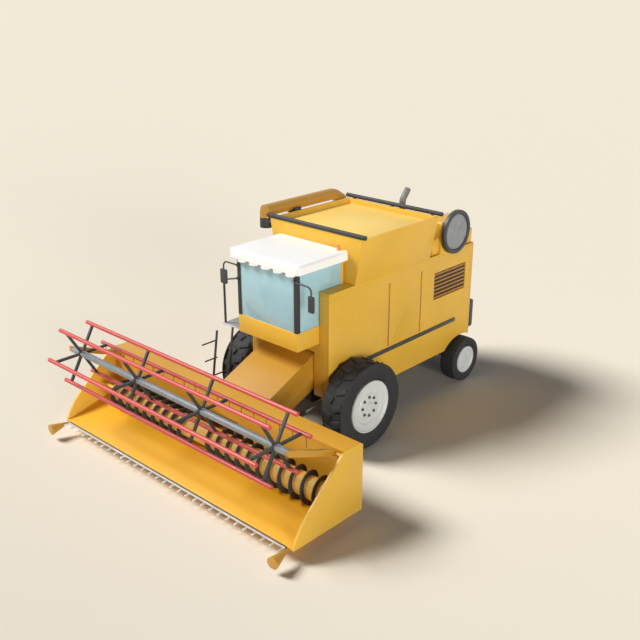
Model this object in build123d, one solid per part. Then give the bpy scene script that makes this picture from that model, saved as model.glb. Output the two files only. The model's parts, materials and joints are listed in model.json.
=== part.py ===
from build123d import *
import math
import os

# Combine harvester with a 5.5 m grain header, reel raised on two arms, side-hung unloading tube and
# rear steering. Millimetres. X points to the machine's left, Y to its rear, Z up. While modelling,
# Y = 0 is the front axle; save() moves every piece so that the origin is under the middle of the
# whole machine. Each function makes one named piece.

# ---------------------------------------------------------------- driving dimensions
SEAT = 0.3                 # gap between curved faces that seat on each other
RUN = 0.05                 # radial clearance of a shaft in its bore

# body
BODY_HALF = 905.0          # half the width over the side panels
WALL = 40.0                # thickness of a body panel
BODY_FRONT = -454.0        # outer face of the front bulkhead
BODY_REAR = 3592.0         # outer face of the rear hood
BODY_BOTTOM = 714.0
BODY_TOP = 2708.0          # top face of the deck

# wheels: tyre radius, tyre width, rim radius, outer face in X, axle in Y
FRONT_R, FRONT_W, FRONT_RIM, FRONT_X = 754.0, 500.0, 459.0, BODY_HALF + 538.5
REAR_R, REAR_W, REAR_RIM, REAR_X, REAR_Y = 434.5, 320.0, 266.0, BODY_HALF + 175, 3313.0
LUG_HEIGHT = 38.0
LUGS = 16                  # lugs on each side of a drive tyre
LUG_LENGTH, LUG_WIDTH, LUG_SWEEP, LUG_OFFSET = 245.0, 150.0, 20.0, 112.0
TYRE_SIDES = 36            # flats round a tyre
KINGPIN_X = BODY_HALF - 215
KINGPIN_R = 30.0
# rear wheel arch, an upright half ellipse round the rear axle
ARCH_HALF, ARCH_HIGH = 605.0, 480.0
# lower edge of the side panels over the front wheels: highest line, and where it meets the bottom
CUT_HIGH, CUT_TOP_BACK, CUT_LOW_BACK = 1100.0, 950.0, 1249.0

# cab
CAB_HALF, CAB_FRONT, CAB_BACK = BODY_HALF - 220, -955.0, 130.0
CAB_FLOOR, CAB_SILL, CAB_HEAD = 1811.0, 2124.0, 3090.0
PILLAR = 70.0
GLASS = 12.0
ROOF_HALF, ROOF_FRONT, ROOF_BACK = CAB_HALF + 105, -1033.0, 160.0
ROOF_LOW, ROOF_HIGH = 3127.0, 3280.0

# grain tank
TANK_FRONT, TANK_BACK = 172.0, 2213.0
TANK_TOP = 3496.0
TANK_FLARE = BODY_HALF + 145        # half the width at the rim
TANK_WALL = 45.0
COVER_DROP = 90.0          # the cover lies this far below the rim
COVER_THICK = 30.0
BAR_R, BAR_HALF = 38.0, TANK_FLARE + 50

# engine bay
COVER_FRONT, COVER_BACK = 2330.0, 3580.0
COVER_HALF, COVER_TOP, COVER_WALL = BODY_HALF - 45, 3000.0, 30.0
COOLER_FRONT, COOLER_BACK, COOLER_TOP = 2500.0, 3200.0, 3300.0
SCREEN_Y, SCREEN_Z, SCREEN_R = 2853.0, 3080.0, 402.0
SCREEN_DISC_R = 322.0
COOLER_OUT = BODY_HALF + 25          # outer face of the cooler box that the screen stands on
SCREEN_OUT = BODY_HALF + 125         # outer face of the screen housing
SCREEN_DEEP = 80.0
EXHAUST_Y, EXHAUST_R, EXHAUST_TOP = 2533.0, 60.0, 3753.0

# feeder house and header
FEEDER_HALF, FEEDER_WALL = 550.0, 30.0
PIVOT_Y, PIVOT_Z = -300.0, 1260.0
PIVOT_R = 45.0
HEADER_HALF, END_PLATE = 2750.0, 40.0
HEADER_BACK, HEADER_FOLD, HEADER_FRONT = -1760.0, -2106.0, -3163.0
HEADER_BOTTOM, HEADER_TOP = 221.0, 1287.0
SHEET = 20.0
CROP_HALF = 500.0          # half the width of the crop opening
AUGER_Y, AUGER_Z = -2400.0, 700.0
AUGER_TUBE, AUGER_WALL, FLIGHT_R, FLIGHT_PITCH = 168.0, 8.0, 248.0, 224.0
FLIGHT_THICK, BEAD_R = 8.0, 8.0      # web of the flight, and the round bead along its rim
AUGER_GAP = 290.0                    # half the bare middle of the auger
AUGER_SHORT = 470.0                  # how much sooner the auger ends on the right, ahead of its drive
TROUGH_GAP = 15.0                    # between the flight and the round trough
STUB_R = 30.0
KNIFE_DEPTH, KNIFE_THICK, KNIFE_HALF = 52.0, 30.0, HEADER_HALF - 125
GUARD_PITCH, GUARD_LENGTH = 180.0, 95.0
GUARDS = int(2 * KNIFE_HALF // GUARD_PITCH) + 1
# divider in front of each end plate: narrow end at the trough, fat end ahead
CONE_NARROW_X, CONE_NARROW_Z, CONE_NARROW = HEADER_HALF - 90, 229.0, 8.0
CONE_WIDE_X, CONE_WIDE_Z, CONE_WIDE = HEADER_HALF - 50, 196.0, 95.0
CONE_LENGTH = 357.0

# reel
REEL_Y, REEL_Z = -3013.0, 1579.0
REEL_ARM_X, REEL_ARM_THICK = HEADER_HALF - 225, 60.0
REEL_SHAFT_R, REEL_SHAFT_HALF = 54.0, REEL_ARM_X - 5
BAT_CIRCLE, BAT_R, BAT_HALF = 509.0, 33.0, REEL_ARM_X - 70
BATS, BAT_PHASE = 6, 30.0
SPIDERS, ARM_THICK = 4, 40.0
SPIDER_PITCH = 2 * (REEL_ARM_X - 240.5) / (SPIDERS - 1)
TINES, TINE_LENGTH, TINE_R = 19, 190.0, 5.0
TINE_PITCH = 2 * (BAT_HALF - 97) / (TINES - 1)
ARM_PIVOT_Y, ARM_PIVOT_Z, ARM_PIN_R = -2165.0, 1245.0, 20.0
ARM_HIGH, ARM_NOSE = 88.0, 47.0      # height of a reel arm, and its reach past the reel shaft

# header lift cylinders
LIFT_X = 650.0
LIFT_BASE_Y, LIFT_BASE_Z = -200.0, 748.0
LIFT_EYE_Y, LIFT_EYE_Z = -1450.0, 560.0
BARREL_R, ROD_R, EYE_R, LIFT_PIN_R = 38.0, 20.0, 46.0, 20.0
BARREL_LONG, ROD_LONG = 700.0, 1140.0

# unloading tube
TUBE_X, TUBE_Y, TUBE_Z, TUBE_R = -TANK_FLARE - 172, 240.0, TANK_TOP + 80, 108.0
TUBE_STUB, TUBE_END, TUBE_BEND = 40.0, TANK_BACK - 223, 400.0
TUBE_DROP, TUBE_TIP = 150.0, 230.0      # fall and length of the bent end
ELBOW_R, ELBOW_LOW, SPIGOT_R = 112.0, TANK_TOP - 211, 40.0
REST_FRONT, REST_BACK = TUBE_Y + 560, TUBE_Y + 710

# access on the right side
PLATFORM_X, PLATFORM_FRONT, PLATFORM_BACK, PLATFORM_TOP = -BODY_HALF - 235, -913.0, -470.0, 1831.0
LADDER_X, RAIL_R, RUNG_R = -BODY_HALF - 195, 20.0, 13.0

# the machine's ends in Y, which set the origin: the foremost bat and the rear lamp boxes
LAMP_DEPTH = 158.0
HITCH_REACH, HITCH_EDGE, HITCH_PIN_R = 150.0, 40.0, 16.0
FRONT_END = REEL_Y - BAT_CIRCLE - BAT_R
REAR_END = BODY_REAR + LAMP_DEPTH
MID_Y = (FRONT_END + REAR_END) / 2


# ---------------------------------------------------------------- helpers
def save(name, *shapes):
    """Write one named piece, moved so that the origin is under the middle of the machine."""
    moved = [Pos(0, -MID_Y, 0) * shape for shape in shapes]
    export_step(moved[0] if len(moved) == 1 else Compound(children=moved), f"parts/{name}.step")


def block(x0, x1, y0, y1, z0, z1):
    """A box between two corners."""
    return Pos((x0 + x1) / 2, (y0 + y1) / 2, (z0 + z1) / 2) * Box(x1 - x0, y1 - y0, z1 - z0)


def rod_x(r, x0, x1, y, z):
    """A cylinder along X."""
    return Pos((x0 + x1) / 2, y, z) * Rot(0, 90, 0) * Cylinder(r, x1 - x0)


def rod_y(r, y0, y1, x, z):
    """A cylinder along Y."""
    return Pos(x, (y0 + y1) / 2, z) * Rot(90, 0, 0) * Cylinder(r, y1 - y0)


def rod_z(r, z0, z1, x, y):
    """A cylinder along Z."""
    return Pos(x, y, (z0 + z1) / 2) * Cylinder(r, z1 - z0)


def rod_between(r, a, b):
    """A cylinder from point a to point b."""
    a, b = Vector(*a), Vector(*b)
    direction = b - a
    return Plane(origin=a, z_dir=direction) * extrude(Circle(r), direction.length)


def side_profile(points, x0, x1):
    """A solid whose outline is given in Y and Z, between two places in X."""
    face = Plane.YZ * make_face(Polyline(*points, close=True))
    return Pos(x0, 0, 0) * extrude(face, x1 - x0, dir=(1, 0, 0))


def mirrored(shape):
    """The same piece on the other side of the machine."""
    return mirror(shape, about=Plane.YZ)


# ---------------------------------------------------------------- chassis and axles
RAIL_X0, RAIL_X1 = 430.0, 530.0
RAIL_LOW, RAIL_HIGH = 864.0, 1004.0
RAIL_FRONT, RAIL_BACK = -200.0, 3440.0
AXLE_R = 110.0
SPINDLE_R = 60.0
BEARER_Z = 2050.0
ENGINE_HALF, ENGINE_FRONT, ENGINE_BACK, ENGINE_TOP = 360.0, 2440.0, 3400.0, 2960.0


def chassis_frame():
    rail = block(RAIL_X0, RAIL_X1, RAIL_FRONT, RAIL_BACK, RAIL_LOW, RAIL_HIGH)
    frame = rail + mirrored(rail)
    # cross members out to the side panels, which they carry
    for y in (RAIL_FRONT + 40, 700, 2050, 2480, RAIL_BACK - 40):
        frame += block(-BODY_HALF + WALL, BODY_HALF - WALL, y - 40, y + 40, RAIL_HIGH - 80, RAIL_HIGH)
    # engine posts and bearers
    for y in (ENGINE_FRONT + 40, ENGINE_BACK - 40):
        for x in (RAIL_X0 + 50, -RAIL_X0 - 50):
            frame += block(x - 40, x + 40, y - 40, y + 40, RAIL_HIGH - 20, BEARER_Z)
        frame += block(-RAIL_X1, RAIL_X1, y - 40, y + 40, BEARER_Z - 80, BEARER_Z)
    # hanger that the rear axle is pinned in
    hanger = block(-120, 120, REAR_Y - 60, REAR_Y + 60, REAR_R + 60, RAIL_LOW + 60)
    beam = block(-RAIL_X1, RAIL_X1, REAR_Y - 60, REAR_Y + 60, RAIL_LOW, RAIL_LOW + 60)
    # lugs that carry the barrels of the header lift cylinders
    lug_z = LIFT_BASE_Z
    for side in (1, -1):
        x = side * LIFT_X
        plate = block(x - 75, x - 45, LIFT_BASE_Y - 50, LIFT_BASE_Y + 260, lug_z - 60, RAIL_LOW + 80)
        other = block(x + 45, x + 75, LIFT_BASE_Y - 50, LIFT_BASE_Y + 260, lug_z - 60, RAIL_LOW + 80)
        arm = block(min(x - side * 120, x + side * 75), max(x - side * 120, x + side * 75),
                    LIFT_BASE_Y + 60, LIFT_BASE_Y + 260, RAIL_LOW + 20, RAIL_LOW + 80)
        pin = rod_x(LIFT_PIN_R, x - 75, x + 75, LIFT_BASE_Y, lug_z)
        frame += plate + other + arm + pin
    frame += hanger + beam
    frame -= rod_x(AXLE_R + SEAT, -BODY_HALF, BODY_HALF, 0, FRONT_R)
    return frame


def drive_axle():
    axle = rod_x(AXLE_R, -BODY_HALF - 20, BODY_HALF + 20, 0, FRONT_R)
    # gearbox between the wheels
    axle += fillet(block(-300, 300, -240, 190, FRONT_R - 230, FRONT_R + 110).edges().filter_by(Axis.X), 60)
    spindle_end = FRONT_X - 60
    axle += rod_x(SPINDLE_R, -spindle_end, spindle_end, 0, FRONT_R)
    axle += rod_x(150, -BODY_HALF - 170, -BODY_HALF - 20, 0, FRONT_R)
    axle += rod_x(150, BODY_HALF + 20, BODY_HALF + 170, 0, FRONT_R)
    return axle


def rear_axle():
    beam = block(-KINGPIN_X + 75, KINGPIN_X - 75, REAR_Y - 60, REAR_Y + 60, REAR_R - 60, REAR_R + 60)
    for side in (1, -1):
        x = side * KINGPIN_X
        fork = block(x - 75, x + 75, REAR_Y - 60, REAR_Y + 60, REAR_R - 130, REAR_R + 130)
        outward = x + side * 15
        gap = block(outward - 70, outward + 70, REAR_Y - 70, REAR_Y + 70, REAR_R - 90, REAR_R + 90)
        outer = x + side * 70
        fork -= block(outer - 10, outer + 10, REAR_Y - 70, REAR_Y + 70, 0, 1000)
        beam += fork - gap
        beam -= rod_z(KINGPIN_R + RUN, REAR_R - 200, REAR_R + 200, x, REAR_Y)
    return beam


def knuckle(side):
    body = rod_z(50, REAR_R - 84, REAR_R + 84, KINGPIN_X, REAR_Y)
    body += rod_z(KINGPIN_R, REAR_R - 140, REAR_R + 140, KINGPIN_X, REAR_Y)
    body += rod_x(45, KINGPIN_X, REAR_X - 60, REAR_Y, REAR_R)
    # steering arm behind the pin
    body += block(KINGPIN_X - 15, KINGPIN_X + 15, REAR_Y, REAR_Y + 180, REAR_R - 45, REAR_R - 20)
    return body if side > 0 else mirrored(body)


# ---------------------------------------------------------------- wheels
def tyre_carcass(radius, width, rim, outer_x, sections):
    """Flat-sided carcass. sections: place across the width from 0 to 1, and its share of the height."""
    height = radius - rim
    polygons = []
    for across, share in sections:
        r = rim + height * share
        plane = Plane(origin=(outer_x - width + across * width, 0, 0), x_dir=(0, 1, 0), z_dir=(1, 0, 0))
        polygons.append(plane * RegularPolygon(r, TYRE_SIDES))
    solid = loft(polygons, ruled=True)
    return solid - rod_x(rim + SEAT, outer_x - width - 10, outer_x + 10, 0, 0)


def front_tyre(side):
    body_r = FRONT_R - LUG_HEIGHT
    share = [(0, 0.82), (0.04, 0.93), (0.12, 1.0), (0.88, 1.0), (0.96, 0.93), (1, 0.82)]
    carcass = tyre_carcass(body_r, FRONT_W, FRONT_RIM, FRONT_X, share)
    middle = FRONT_X - FRONT_W / 2
    # a lug's corner is the farthest point from the axle, and one corner stands on the ground
    sweep_angle = math.radians(LUG_SWEEP)
    reach = LUG_LENGTH / 2 * math.sin(sweep_angle) + LUG_WIDTH / 2 * math.cos(sweep_angle)
    top = math.sqrt(FRONT_R**2 - reach**2)
    first = math.degrees(math.atan2(reach, top))
    lugs = []
    for row, shift in ((1, 0.0), (-1, 0.5)):
        for i in range(LUGS):
            bar = Rot(0, 0, row * LUG_SWEEP) * Box(LUG_LENGTH, LUG_WIDTH, 100)
            bar = Pos(middle + row * LUG_OFFSET, 0, top - 50) * bar
            lugs.append(Rot(first + 360.0 / LUGS * (i + shift), 0, 0) * bar)
    reach = FRONT_R + 10
    lug_half = FRONT_W / 2 - 22
    band = block(middle - lug_half, middle + lug_half, -reach, reach, -reach, reach)
    tyre = carcass.fuse(*[bar & band for bar in lugs])
    tyre = Pos(0, 0, FRONT_R) * tyre
    return tyre if side > 0 else mirrored(tyre)


def rear_tyre(side):
    share = [(0, 0.75), (0.07, 0.93), (0.2, 1.0), (0.8, 1.0), (0.93, 0.93), (1, 0.75)]
    tyre = Pos(0, REAR_Y, REAR_R) * tyre_carcass(REAR_R, REAR_W, REAR_RIM, REAR_X, share)
    return tyre if side > 0 else mirrored(tyre)


def rim(radius, width, outer_x, dish, bore, hub, hub_depth):
    """A rim with a flat disc near its outer face and a hub bored for its spindle."""
    barrel = rod_x(radius, outer_x - width + 8, outer_x - 8, 0, 0)
    barrel -= rod_x(radius - 22, outer_x - width, outer_x, 0, 0)
    disc = rod_x(radius - 10, outer_x - dish - 24, outer_x - dish, 0, 0)
    nave = rod_x(hub, outer_x - dish - hub_depth, outer_x - dish, 0, 0)
    return barrel + disc + nave - rod_x(bore, outer_x - width, outer_x - dish - 4, 0, 0)


BOLT_CIRCLE = 155.0


def front_rim(side):
    wheel = rim(FRONT_RIM, FRONT_W, FRONT_X, 50, SPINDLE_R + RUN, 150, 250)
    for i in range(8):
        wheel += Rot(45 * i + 22.5, 0, 0) * rod_x(15, FRONT_X - 50, FRONT_X - 30, 0, BOLT_CIRCLE)
    wheel = Pos(0, 0, FRONT_R) * wheel
    return wheel if side > 0 else mirrored(wheel)


def rear_rim(side):
    wheel = rim(REAR_RIM, REAR_W, REAR_X, 40, 45 + RUN, 80, 120)
    wheel = Pos(0, REAR_Y, REAR_R) * wheel
    return wheel if side > 0 else mirrored(wheel)


# ---------------------------------------------------------------- body
GRILLE_Y0, GRILLE_Y1, GRILLE_Z0, GRILLE_Z1 = 2380.0, 3370.0, 1860.0, 2375.0
SLATS = 7
SLAT_SHARE, SLAT_SUNK = 0.38, 12.0    # height of a slat in its pitch, and its depth behind the panel
BACKING = 10.0
SEAM_HALF, SEAM_DEEP = 13.0, 16.0
MOULD_FRONT, MOULD_BACK, MOULD_LOW, MOULD_HIGH = 500.0, BODY_REAR - 505, 1262.0, 1337.0


PAN_FRONT, PAN_BACK, PAN_THICK = 150.0, 2700.0, 20.0


def side_panel(side):
    panel = block(BODY_HALF - WALL, BODY_HALF, BODY_FRONT, BODY_REAR, BODY_BOTTOM, BODY_TOP)
    arch = Plane.YZ * Pos(REAR_Y, REAR_R) * Ellipse(ARCH_HALF, ARCH_HIGH)
    panel -= Pos(BODY_HALF - 100, 0, 0) * extrude(arch, 200, dir=(1, 0, 0))
    # the corner behind the arch, which would be a loose tip
    panel -= block(BODY_HALF - 100, BODY_HALF + 100, REAR_Y, BODY_REAR + 1, 0, REAR_R + 0.86 * ARCH_HIGH)
    # raised lower edge over the front wheel and its axle
    raised = [(-AXLE_R - 20, BODY_BOTTOM - 1), (-AXLE_R - 20, CUT_HIGH), (CUT_TOP_BACK, CUT_HIGH),
              (CUT_LOW_BACK, BODY_BOTTOM - 1)]
    panel -= side_profile(raised, BODY_HALF - 100, BODY_HALF + 100)
    # seams between the service panels
    for y in (1080.0, 1985.0):
        panel -= block(BODY_HALF - SEAM_DEEP, BODY_HALF + 1, y - SEAM_HALF, y + SEAM_HALF, 1360, 2520)
    # louvred opening and its slats
    panel -= block(BODY_HALF - 100, BODY_HALF + 100, GRILLE_Y0, GRILLE_Y1, GRILLE_Z0, GRILLE_Z1)
    pitch = (GRILLE_Z1 - GRILLE_Z0) / SLATS
    for i in range(SLATS):
        z = GRILLE_Z0 + pitch * (i + 0.5)
        half = pitch * SLAT_SHARE / 2
        panel += block(BODY_HALF - WALL, BODY_HALF - SLAT_SUNK, GRILLE_Y0, GRILLE_Y1, z - half, z + half)
    # bearing of the feeder pivot
    panel += rod_x(PIVOT_R + 35, BODY_HALF - WALL - 70, BODY_HALF - WALL + 5, PIVOT_Y, PIVOT_Z)
    panel -= rod_x(PIVOT_R + RUN, BODY_HALF - WALL - 80, BODY_HALF - WALL - 2, PIVOT_Y, PIVOT_Z)
    return panel if side > 0 else mirrored(panel)


def grille_backings():
    """Dark mesh sheets behind the louvres."""
    inner = BODY_HALF - WALL
    sheet = block(inner - BACKING, inner, GRILLE_Y0 - 25, GRILLE_Y1 + 25, GRILLE_Z0 - 25, GRILLE_Z1 + 25)
    return sheet, mirrored(sheet)


def front_bulkhead():
    inner = BODY_HALF - WALL
    plate = block(-inner, inner, BODY_FRONT, BODY_FRONT + WALL, BODY_BOTTOM, BODY_TOP - WALL)
    plate -= block(-CAB_HALF, CAB_HALF, BODY_FRONT - 10, BODY_FRONT + 100, CAB_FLOOR, BODY_TOP)
    half = FEEDER_HALF + 15
    plate -= block(-half, half, BODY_FRONT - 10, BODY_FRONT + 100, 850, 1630)
    # room for the lift cylinders below the feeder
    return plate - block(-LIFT_X - 90, LIFT_X + 90, BODY_FRONT - 10, BODY_FRONT + 100, 0, 851)


def rear_hood():
    inner = BODY_HALF - WALL
    hood = block(-inner, inner, BODY_REAR - WALL, BODY_REAR, 1180, BODY_TOP - WALL)
    # deflector that throws the straw down behind the rear axle
    hood += side_profile([(BODY_REAR - WALL, 1300), (BODY_REAR, 1300), (BODY_REAR + 60, 1120),
                          (BODY_REAR + 20, 1120)], -620, 620)
    for x in (-430.0, 0.0, 430.0):
        hood -= block(x - SEAM_HALF, x + SEAM_HALF, BODY_REAR - SEAM_DEEP, BODY_REAR + 1, 1400, 2560)
    return hood


def belly_pan():
    """Floor of the body, which rises over the front axle and lets the chassis rails through."""
    inner = BODY_HALF - WALL
    thick = PAN_THICK
    outline = [(PAN_FRONT, CUT_HIGH), (CUT_TOP_BACK, CUT_HIGH), (CUT_LOW_BACK, BODY_BOTTOM),
               (PAN_BACK, BODY_BOTTOM), (PAN_BACK, BODY_BOTTOM + thick),
               (CUT_LOW_BACK + 10, BODY_BOTTOM + thick), (CUT_TOP_BACK + 10, CUT_HIGH + thick),
               (PAN_FRONT, CUT_HIGH + thick)]
    pan = side_profile(outline, -inner, inner)
    middle = (RAIL_X0 + RAIL_X1) / 2
    for x in (middle, -middle):
        for y in (1500, 2050):
            pan += block(x - 30, x + 30, y - 30, y + 30, BODY_BOTTOM + thick, RAIL_LOW)
        pan += block(x - 30, x + 30, 420, 480, RAIL_HIGH, CUT_HIGH)
        half = (RAIL_X1 - RAIL_X0) / 2 + 3
        pan -= block(x - half, x + half, CUT_TOP_BACK, CUT_LOW_BACK, RAIL_LOW - 3, RAIL_HIGH + 3)
    return pan


def body_top():
    deck = block(-BODY_HALF + WALL, BODY_HALF - WALL, BODY_FRONT, BODY_REAR, BODY_TOP - WALL, BODY_TOP)
    deck -= block(-CAB_HALF, CAB_HALF, BODY_FRONT - 10, CAB_BACK, 0, 4000)
    deck -= block(-ENGINE_HALF - 30, ENGINE_HALF + 30, ENGINE_FRONT - 30, ENGINE_BACK + 30, 0, 4000)
    return deck


def side_mouldings():
    bar = block(BODY_HALF, BODY_HALF + 22, MOULD_FRONT, MOULD_BACK, MOULD_LOW, MOULD_HIGH)
    return bar, mirrored(bar)


def rear_lamp_boxes():
    lamp = block(BODY_HALF - 265, BODY_HALF - 20, BODY_REAR, REAR_END, 970, 1530)
    lamp = fillet(lamp.edges().filter_by(Axis.X).group_by(Axis.Y)[-1], 50)
    return lamp, mirrored(lamp)


def tow_hitch():
    end = BODY_REAR + HITCH_REACH
    bar = block(-60, 60, REAR_Y + 60, end, REAR_R - 30, REAR_R + 20)
    bar += block(-60, 60, REAR_Y + 60, REAR_Y + 90, REAR_R - 60, REAR_R + 60)
    return bar - rod_z(HITCH_PIN_R, REAR_R - 50, REAR_R + 50, 0, end - HITCH_EDGE)


# ---------------------------------------------------------------- grain tank and engine bay
COOLER_DEEP = 380.0


def tank_section(grow, z, half):
    plane = Plane(origin=(0, (TANK_FRONT + TANK_BACK) / 2, z))
    return plane * Rectangle(2 * (half + grow), TANK_BACK - TANK_FRONT + 2 * grow)


def grain_tank():
    outer = loft([tank_section(0, BODY_TOP, BODY_HALF), tank_section(0, TANK_TOP, TANK_FLARE)])
    low, high = tank_section(-TANK_WALL, BODY_TOP, BODY_HALF), tank_section(-TANK_WALL, TANK_TOP, TANK_FLARE)
    inner = loft([low, high])
    return outer - inner


def tank_cover():
    slope = (TANK_FLARE - BODY_HALF) / (TANK_TOP - BODY_TOP)
    high, low = TANK_TOP - COVER_DROP, TANK_TOP - COVER_DROP - COVER_THICK
    return loft([tank_section(-TANK_WALL, z, BODY_HALF + slope * (z - BODY_TOP)) for z in (low, high)])


def tank_bars():
    z = TANK_TOP + BAR_R
    bars = []
    for y in (TANK_FRONT + 14, TANK_BACK + 32):
        bar = rod_x(BAR_R, -BAR_HALF, BAR_HALF, y, z)
        if y > TANK_BACK:
            for x in (-900, 0, 900):
                bar += block(x - 25, x + 25, TANK_BACK, y, TANK_TOP - 60, z)
        else:
            for x in (-900, 0, 900):
                bar += block(x - 25, x + 25, TANK_FRONT, y + 10, TANK_TOP, z)
        bars.append(bar)
    # bracket on the tank's side that the unloading tube lies over, with a stop beside the rim
    top = TUBE_Z - TUBE_R - 6
    rest = block(TUBE_X - 40, -TANK_FLARE + TANK_WALL, REST_FRONT, REST_BACK, top - 24, top)
    rest += block(-TANK_FLARE - 34, -TANK_FLARE - 6, REST_FRONT, REST_BACK, top - 24, TANK_TOP + 45)
    rest -= tank_outer()
    return bars + [rest]


def engine_cover():
    """Low cover over the engine, with the tall cooler box on the left that carries the screen."""
    wall = COVER_WALL
    cover = block(-COVER_HALF, COVER_HALF, COVER_FRONT, COVER_BACK, BODY_TOP, COVER_TOP)
    cover = fillet(cover.edges().group_by(Axis.Z)[-1], 40)
    inner_x = COOLER_OUT - COOLER_DEEP
    cooler = block(inner_x, COOLER_OUT, COOLER_FRONT, COOLER_BACK, BODY_TOP, COOLER_TOP)
    cooler = fillet(cooler.edges().group_by(Axis.Z)[-1], 40)
    cover += cooler
    cover -= block(-COVER_HALF + wall, COVER_HALF - wall, COVER_FRONT + wall, COVER_BACK - wall,
                   BODY_TOP - 10, COVER_TOP - wall)
    return cover - block(inner_x + wall, COOLER_OUT - wall, COOLER_FRONT + wall, COOLER_BACK - wall,
                         BODY_TOP - 10, COOLER_TOP - wall)


def engine_block():
    return block(-ENGINE_HALF, ENGINE_HALF, ENGINE_FRONT, ENGINE_BACK, BEARER_Z, ENGINE_TOP)


def screen_housing():
    back = SCREEN_OUT - SCREEN_DEEP
    drum = rod_x(SCREEN_R, back, SCREEN_OUT, SCREEN_Y, SCREEN_Z)
    drum -= rod_x(SCREEN_DISC_R + 8, back + 20, SCREEN_OUT + 10, SCREEN_Y, SCREEN_Z)
    # neck between the cooler box and the drum
    neck = rod_x(SCREEN_R - 70, COOLER_OUT, back + 5, SCREEN_Y, SCREEN_Z)
    neck &= block(COOLER_OUT, back + 5, COOLER_FRONT, COOLER_BACK, BODY_TOP, COOLER_TOP)
    return drum + neck + rod_x(25, back, SCREEN_OUT - 40, SCREEN_Y, SCREEN_Z)


def rotary_screen():
    disc = rod_x(SCREEN_DISC_R, SCREEN_OUT - 50, SCREEN_OUT - 20, SCREEN_Y, SCREEN_Z)
    return disc - rod_x(25 + RUN, SCREEN_OUT - 60, SCREEN_OUT - 36, SCREEN_Y, SCREEN_Z)


def exhaust_pipe():
    """Upright pipe whose top bends towards the rear, open at its mouth."""
    bend_z = EXHAUST_TOP - 190
    path = FilletPolyline((0, EXHAUST_Y, COVER_TOP), (0, EXHAUST_Y, bend_z),
                          (0, EXHAUST_Y + 150, EXHAUST_TOP - 10), radius=150)
    start = Plane(origin=(0, EXHAUST_Y, COVER_TOP))
    pipe = sweep(start * Circle(EXHAUST_R), path=path)
    bore = sweep(start * Circle(EXHAUST_R - 6), path=path)
    return pipe - bore


# ---------------------------------------------------------------- cab
DOOR_BACK, DOOR_LOW = -478.0, 1850.0
DOOR_FRONT = CAB_FRONT + PILLAR + 6
DOOR_OUT = -CAB_HALF
DOOR_IN = -CAB_HALF + 36
HINGE_X, HINGE_Y, HINGE_R = -CAB_HALF - 20.0, DOOR_BACK + 2.0, 12.0
HINGE_PIN = 6.0
HINGE_HEIGHTS = (2220.0, 2950.0)


def cab_base():
    tub = block(-CAB_HALF, CAB_HALF, CAB_FRONT, CAB_BACK, CAB_FLOOR, CAB_SILL)
    tub -= block(-CAB_HALF + WALL, CAB_HALF - WALL, CAB_FRONT + WALL, CAB_BACK - WALL,
                 CAB_FLOOR + WALL, CAB_SILL + 1)
    # doorway in the right wall
    tub -= block(-CAB_HALF - 10, -CAB_HALF + WALL + 10, CAB_FRONT + PILLAR - 5, DOOR_BACK + 10,
                 DOOR_LOW - 6, CAB_SILL + 1)
    # back wall up to the roof
    return tub + block(-CAB_HALF, CAB_HALF, CAB_BACK - WALL, CAB_BACK, CAB_SILL, CAB_HEAD)


def cab_frame():
    """Corner posts, door post, and the ring under the roof."""
    frame = None
    posts = [(x, y) for x in (CAB_HALF - PILLAR, -CAB_HALF) for y in (CAB_FRONT,)]
    for x, y in posts:
        post = block(x, x + PILLAR, y, y + PILLAR, CAB_SILL, CAB_HEAD)
        frame = post if frame is None else frame + post
    frame += block(-CAB_HALF, -CAB_HALF + PILLAR, DOOR_BACK + 10, DOOR_BACK + 60, CAB_SILL, CAB_HEAD)
    ring = block(-CAB_HALF, CAB_HALF, CAB_FRONT, CAB_BACK, CAB_HEAD, ROOF_LOW)
    ring -= block(-CAB_HALF + PILLAR, CAB_HALF - PILLAR, CAB_FRONT + PILLAR, CAB_BACK - PILLAR, 0, 4000)
    # lower halves of the door hinges, with their pins
    for z in HINGE_HEIGHTS:
        frame += rod_z(HINGE_R, z - 66, z - 36, HINGE_X, HINGE_Y)
        frame += block(HINGE_X - HINGE_R, -CAB_HALF, HINGE_Y + 5, HINGE_Y + 21, z - 66, z - 36)
        frame += rod_z(HINGE_PIN, z - 60, z + 18, HINGE_X, HINGE_Y)
    return frame + ring


def cab_glazing():
    """Windscreen, the long left window and the short window behind the door."""
    front = block(-CAB_HALF + PILLAR, CAB_HALF - PILLAR, CAB_FRONT + 10, CAB_FRONT + 10 + GLASS,
                  CAB_SILL, CAB_HEAD)
    back = CAB_BACK - WALL
    left = block(CAB_HALF - 10 - GLASS, CAB_HALF - 10, CAB_FRONT + PILLAR, back, CAB_SILL, CAB_HEAD)
    right = block(-CAB_HALF + 10, -CAB_HALF + 10 + GLASS, DOOR_BACK + 60, back, CAB_SILL, CAB_HEAD)
    return front, left, right


def cab_door():
    """Door frame with a solid lower panel and two knuckles on its hinge line."""
    door = block(DOOR_OUT, DOOR_IN, DOOR_FRONT, DOOR_BACK, DOOR_LOW, CAB_HEAD - 6)
    door -= block(DOOR_OUT - 5, DOOR_IN + 5, DOOR_FRONT + 40, DOOR_BACK - 40, CAB_SILL + 20, CAB_HEAD - 46)
    for z in HINGE_HEIGHTS:
        door += rod_z(HINGE_R, z - 30, z + 30, HINGE_X, HINGE_Y)
        door += block(HINGE_X, DOOR_OUT + 5, HINGE_Y - 12, HINGE_Y - 3, z - 30, z + 30)
        door -= rod_z(HINGE_PIN + RUN, z - 40, z + 24, HINGE_X, HINGE_Y)
    return door


def door_glass():
    return block(DOOR_OUT + 12, DOOR_OUT + 12 + GLASS, DOOR_FRONT + 40, DOOR_BACK - 40,
                 CAB_SILL + 20, CAB_HEAD - 46)


LOBES, LOBE_PITCH, LOBE_DROP = 5, 275.0, 55.0


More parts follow.
